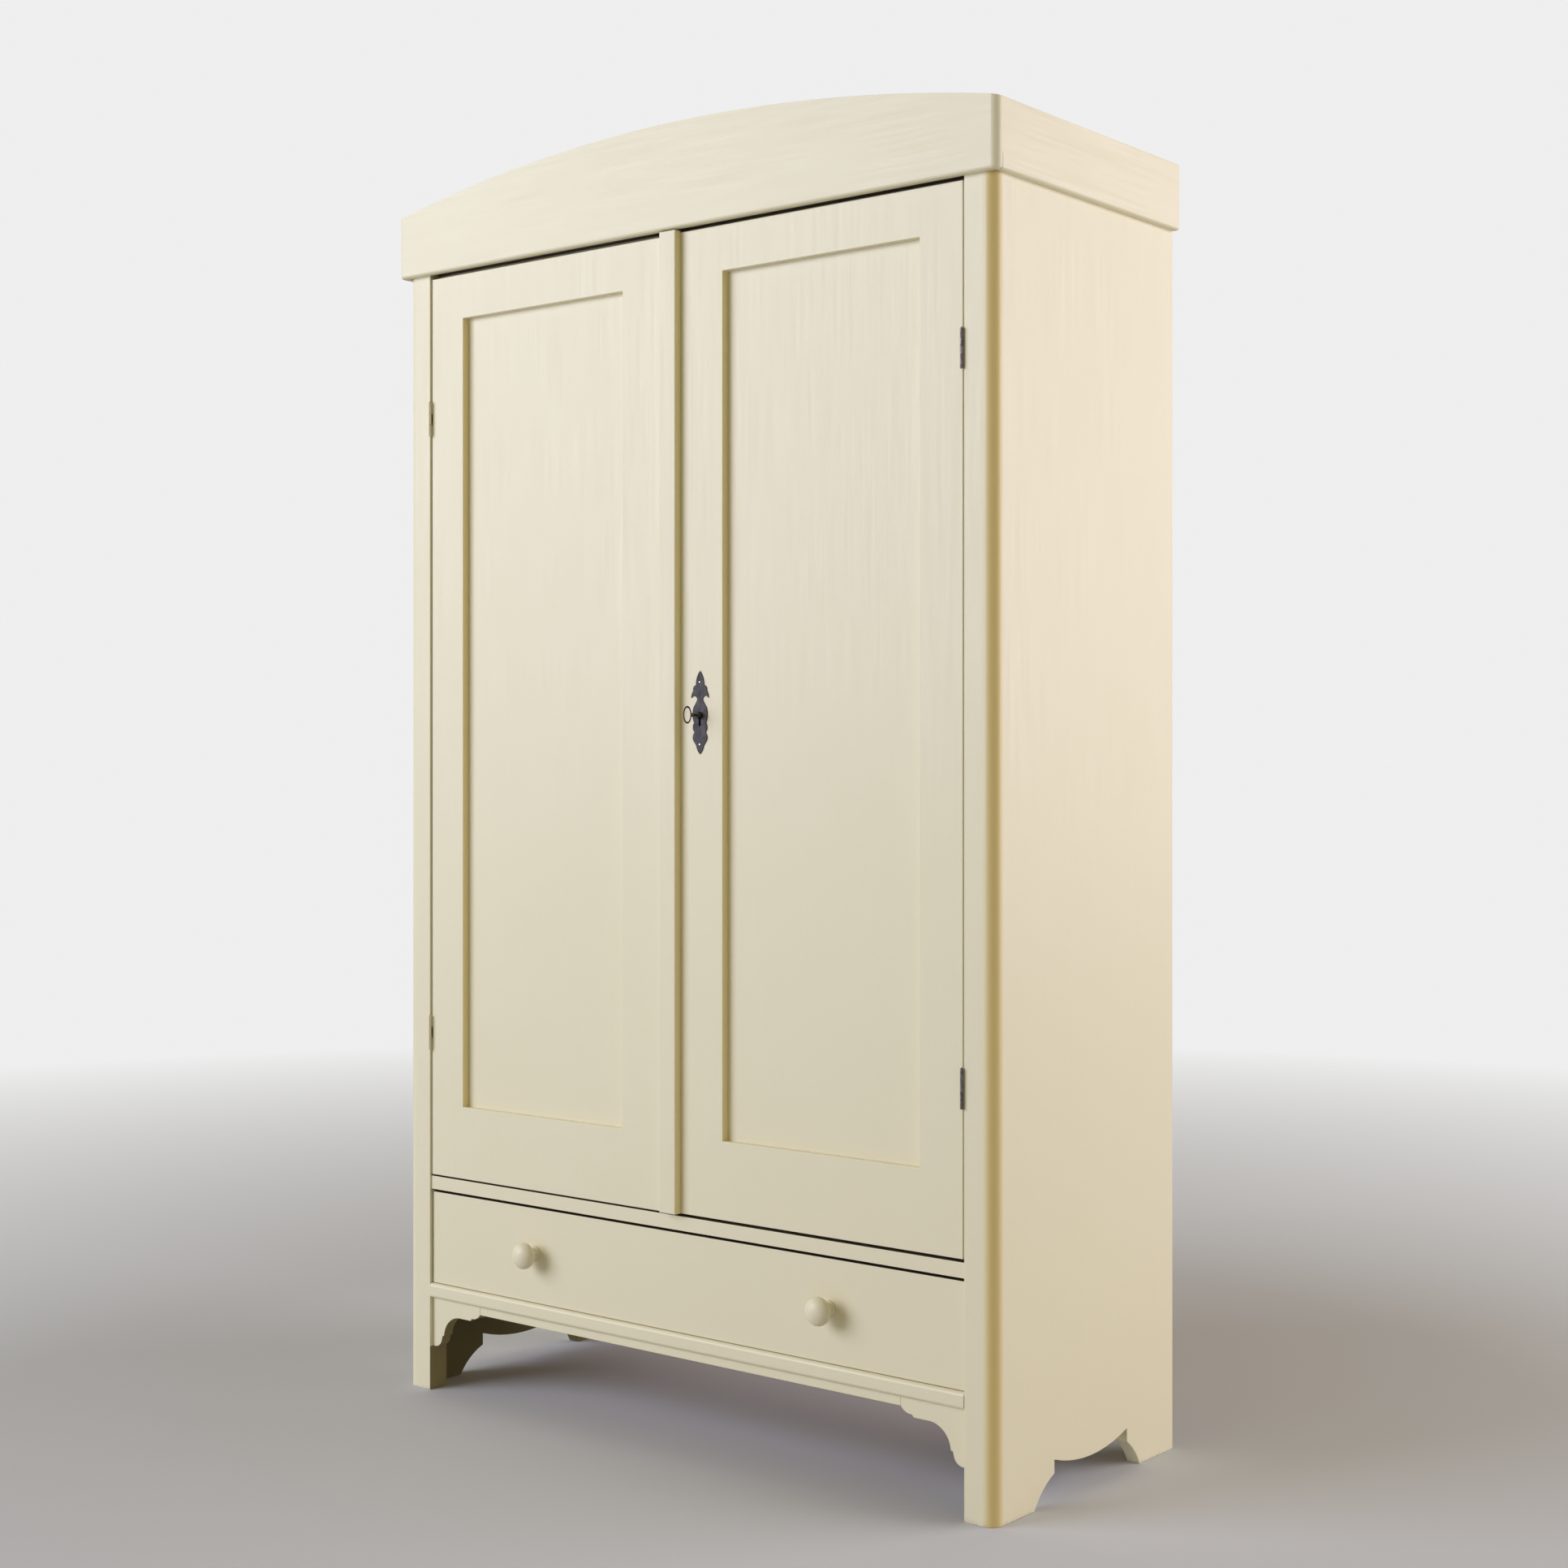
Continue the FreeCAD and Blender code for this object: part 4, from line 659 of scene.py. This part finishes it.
runs = [(Vector((across * PLATE_SIZE.x / 2, up * PLATE_SIZE.z)), radius * PLATE_SIZE.z)
        for across, up, radius in PLATE_OUTLINE]
outline = []
for (start, radius), (end, _) in zip(runs, runs[1:]):
    outline += bowed(start, end, radius)
outline.append(runs[-1][0])
HOLE_LEVEL = KEY_LEVEL - plate_low.z
for angle in HOLE_ANGLES:
    turn = math.radians(angle)
    outline.append(Vector((HOLE_RADIUS * math.cos(turn), HOLE_LEVEL + HOLE_RADIUS * math.sin(turn))))
outline += [Vector((SLOT_HALF, HOLE_LEVEL - SLOT_DROP)), Vector((0, HOLE_LEVEL - SLOT_DROP))]
plate = bmesh.new()
plate.faces.new([plate.verts.new(plate_point(point.x, point.y)) for point in outline])
bmesh.ops.mirror(plate, geom=plate.verts[:] + plate.edges[:] + plate.faces[:], merge_dist=WELD,
                 matrix=Matrix.Translation(plate_point(0, 0)).inverted(), axis="X")
bmesh.ops.recalc_face_normals(plate, faces=plate.faces)
thickened(plate, plate.faces[:], PLATE_FACE - plate_high.y)
rim = [edge for edge in plate.edges if edge.calc_face_angle(0) > HARD_ANGLE
       and all(abs(vertex.co.y - PLATE_FACE) < LEVEL_MATCH for vertex in edge.verts)]
rounded(plate, rim, PLATE_EDGE, segments=2)
finished("keyhole_plate", plate, "door_right", ["keyhole_plate"], [IRON], sharp=40.0)

pins = bmesh.new()
pins_low, pins_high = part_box("plate_pins")
PIN_ROOM = (pins_high.x - pins_low.x) / 2
dome = [(0, 0), (0, PIN_RADIUS), (PIN_RIM, PIN_RADIUS)]
for angle in DOME_ANGLES:
    turn = math.radians(angle)
    dome.append((PIN_RIM + (PIN_HEIGHT - PIN_RIM) * math.sin(turn), PIN_RADIUS * math.cos(turn)))
dome.append((PIN_HEIGHT, 0))
for level in (pins_low.z + PIN_ROOM, pins_high.z - PIN_ROOM):
    turned(pins, dome, ((pins_low.x + pins_high.x) / 2, PLATE_FACE, level), FRONT, steps=24)
finished("plate_pins", pins, "door_right", ["plate_pins"], [PIN_METAL])


# Key: a thin oval wire bow, edge on to the door's face, brazed to a turned shank
# with a bead and a collar, and a bit at its far end inside the lock.
KEY_DARK = old_metal("key_iron", (0.035, 0.028, 0.022, 1), (0.12, 0.095, 0.07, 1), 0.35, 0.55, 0.8)
BOW_WIRE, BOW_LENGTH = 0.0009, 0.017
BEAD = [(0, 0), (0, 0.0016), (0.0010, 0.0024), (0.0024, 0.0028), (0.0036, 0.0022), (0.0044, 0.0018)]
COLLAR = [(-0.0062, 0.0018), (-0.0054, 0.0040), (-0.0040, 0.0048), (-0.0022, 0.0048), (-0.0010, 0.0040)]
SHANK_RADIUS, SHANK_TIP, SHANK_FROM = 0.0026, 0.0004, 0.004
BIT_HALF, BIT_DEPTH, BIT_SINK = 0.0012, 0.005, 0.001
BACK = (0, 1, 0)
key = bmesh.new()
bow_centre = Vector((KEY_X, key_low.y + BOW_LENGTH / 2, KEY_LEVEL))
wire = bmesh.ops.create_circle(key, segments=12, radius=BOW_WIRE)["verts"]
bmesh.ops.translate(key, verts=wire, vec=bow_centre + Vector((0, BOW_LENGTH / 2 - BOW_WIRE, 0)))
bmesh.ops.spin(key, geom=wire + key.edges[:], cent=bow_centre, axis=RIGHT,
               angle=math.radians(360), steps=48, use_merge=True)
stretch = (BOW_HEIGHT / 2 - BOW_WIRE) / (BOW_LENGTH / 2 - BOW_WIRE)
for vertex in key.verts:
    vertex.co.z = bow_centre.z + (vertex.co.z - bow_centre.z) * stretch
shank_start = key_low.y + BOW_LENGTH - BOW_WIRE
shank_length = key_high.y - shank_start
to_plate = PLATE_FACE - shank_start
shank = BEAD + [(to_plate + level, radius) for level, radius in COLLAR]
shank += [(to_plate + SHANK_FROM, SHANK_RADIUS), (shank_length - SHANK_TIP, SHANK_RADIUS),
          (shank_length, SHANK_RADIUS - SHANK_TIP), (shank_length, 0)]
turned(key, shank, (KEY_X, shank_start, KEY_LEVEL), BACK, steps=24)
block(key, (KEY_X - BIT_HALF, KEY_X + BIT_HALF), (key_high.y - BIT_DEPTH, key_high.y),
      (key_low.z, KEY_LEVEL - BIT_SINK))
bmesh.ops.recalc_face_normals(key, faces=key.faces)
finished("key", key, "key", ["key"], [KEY_DARK])


# Lock and inner bolts: a flat iron case with its steel bolt on the right door, and
# on the left door a bent keeper and two steel bars that slide in iron guides.
STEEL = old_metal("steel", (0.16, 0.145, 0.13, 1), (0.32, 0.30, 0.28, 1), 0.32, 0.5)
covered(["slide_bolt_guides", "lock_keeper", "lock_case"], IRON)
covered(["lock_bolt", "slide_bolt_upper", "slide_bolt_lower"], STEEL)


# Drawer: a painted front, set back a little between the posts, dovetailed to bare
# pine sides, with its bottom in grooves. Its top edge is planed to ease it, and
# coloured nearly black, painted shade for the gap above it.
DRAWER_EDGE, TOP_PLANED, TOP_BAND = 0.0010, 0.0015, 0.0016
DRAWER_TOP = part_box("drawer_front")[1].z
drawer_front = sanded("drawer_front", "drawer", DRAWER_EDGE, PAINT_ACROSS, inside=all_faces(UP, GAP_SHADE_EDGE))
for vertex in drawer_front.data.vertices:
    if vertex.co.z > DRAWER_TOP - TOP_BAND:
        vertex.co.z -= TOP_PLANED
covered(["drawer_side_left", "drawer_side_right"], PINE_DEEP)
covered(["drawer_bottom", "drawer_back"], PINE_ACROSS)


# Knobs: each turned from one piece, a small foot, a short waist and a flattened
# ball, with a dowel through the drawer front, and painted with it.
PAINT_DEEP = paint("paint_front_to_back", "y")
KNOB_REACH, BALL_DEPTH, BALL_RADIUS = 0.037, 0.0265, 0.0195
BALL_START, BALL_STEPS = 29, 24
DOWEL_RADIUS = 0.006
KNOB_FOOT = [(-0.0004, DOWEL_RADIUS), (-0.0004, 0.0112), (0.0012, 0.0117), (0.0026, 0.0112), (0.0036, 0.0094)]
DRAWER_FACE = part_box("drawer_front")[0].y
knobs_low, knobs_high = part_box("knobs")
KNOB_ROOM = (knobs_high.z - knobs_low.z) / 2
dowel_end = DRAWER_FACE - knobs_high.y
profile = [(dowel_end, 0.0), (dowel_end, DOWEL_RADIUS)] + KNOB_FOOT
for step in range(BALL_STEPS):
    angle = math.radians(BALL_START + (180 - BALL_START) * step / BALL_STEPS)
    profile.append((KNOB_REACH - BALL_DEPTH / 2 * (1 + math.cos(angle)), BALL_RADIUS * math.sin(angle)))
profile.append((KNOB_REACH, 0.0))
knobs = bmesh.new()
for x in (knobs_low.x + KNOB_ROOM, knobs_high.x - KNOB_ROOM):
    turned(knobs, profile, (x, DRAWER_FACE, knobs_low.z + KNOB_ROOM), FRONT, steps=56)
finished("knobs", knobs, "drawer", ["knobs"], [PAINT_DEEP], sharp=42.0)


# The floor is plain and pale, and far from the cupboard it fades into the pale
# background behind it.
BACKDROP = (0.86, 0.86, 0.86, 1)
FLOOR_GREY = (0.62, 0.63, 0.66, 1)
FADE_START, FADE_END = 1.2, 4.6
FLOOR_REACH = 14


def pale_floor():
    """A dull pale floor that turns into the background for the camera."""
    material, tree, shader, place = blank_material("pale_floor")
    shader.inputs["Base Color"].default_value = FLOOR_GREY
    shader.inputs["Roughness"].default_value = 0.8
    shader.inputs["Specular IOR Level"].default_value = 0.05
    away = tree.nodes.new("ShaderNodeVectorMath")
    away.operation = "LENGTH"
    tree.links.new(place, away.inputs[0])
    far = ranged(tree, away.outputs["Value"], (FADE_START, FADE_END), (0.0, 1.0))
    seen = tree.nodes.new("ShaderNodeLightPath").outputs["Is Camera Ray"]
    glow = tree.nodes.new("ShaderNodeEmission")
    glow.inputs["Color"].default_value = BACKDROP
    both = tree.nodes.new("ShaderNodeMixShader")
    tree.links.new(combined(tree, "MULTIPLY", far, seen), both.inputs["Fac"])
    tree.links.new(shader.outputs[0], both.inputs[1])
    tree.links.new(glow.outputs[0], both.inputs[2])
    tree.links.new(both.outputs[0], tree.nodes["Material Output"].inputs["Surface"])
    return material


ground = bmesh.new()
bmesh.ops.create_grid(ground, x_segments=1, y_segments=1, size=FLOOR_REACH)
floor_mesh = bpy.data.meshes.new("floor")
ground.to_mesh(floor_mesh)
ground.free()
floor_mesh.materials.append(pale_floor())
floor = bpy.data.objects.new("floor", floor_mesh)
bpy.context.scene.collection.objects.link(floor)


# Soft studio light: a wide low lamp in front and to the left, which throws the
# knobs' short shadows to the right, and another behind on the right for the side.
WORLD_LIGHT, WORLD_STRENGTH = (1.0, 0.86, 0.44, 1), 0.27


def soft_lamp(name, place, aim, size, power, colour):
    """A soft lamp at a place, turned toward the point at which it aims."""
    data = bpy.data.lights.new(name, "AREA")
    data.shape = "RECTANGLE"
    data.size, data.size_y = size
    data.energy = power
    data.color = colour
    lamp = bpy.data.objects.new(name, data)
    lamp.location = place
    direction = Vector(aim) - Vector(place)
    lamp.rotation_euler = direction.to_track_quat("-Z", "Y").to_euler()
    bpy.context.scene.collection.objects.link(lamp)


soft_lamp("lamp_left", place=(-3.9, -5.5, 2.9), aim=(-0.1, 0, 1.1), size=(5.0, 4.0), power=338,
          colour=(0.97, 1.0, 1.21))
soft_lamp("lamp_right", place=(4.3, 2.9, 1.9), aim=(0.5, 0, 0.95), size=(4.4, 3.0), power=184,
          colour=(1.0, 0.945, 1.06))

world = bpy.data.worlds.new("studio")
bpy.context.scene.world = world
world.use_nodes = True
sky = world.node_tree
daylight = sky.nodes["Background"]
daylight.inputs["Color"].default_value = WORLD_LIGHT
daylight.inputs["Strength"].default_value = WORLD_STRENGTH
backdrop = sky.nodes.new("ShaderNodeBackground")
backdrop.inputs["Color"].default_value = BACKDROP
paths = sky.nodes.new("ShaderNodeLightPath").outputs
seen = combined(sky, "MAXIMUM", paths["Is Camera Ray"], paths["Is Glossy Ray"])
seen = combined(sky, "MAXIMUM", seen, paths["Is Transmission Ray"])
either = sky.nodes.new("ShaderNodeMixShader")
sky.links.new(seen, either.inputs["Fac"])
sky.links.new(daylight.outputs[0], either.inputs[1])
sky.links.new(backdrop.outputs[0], either.inputs[2])
sky.links.new(either.outputs[0], sky.nodes["World Output"].inputs["Surface"])

bpy.context.scene.view_settings.view_transform = "Standard"
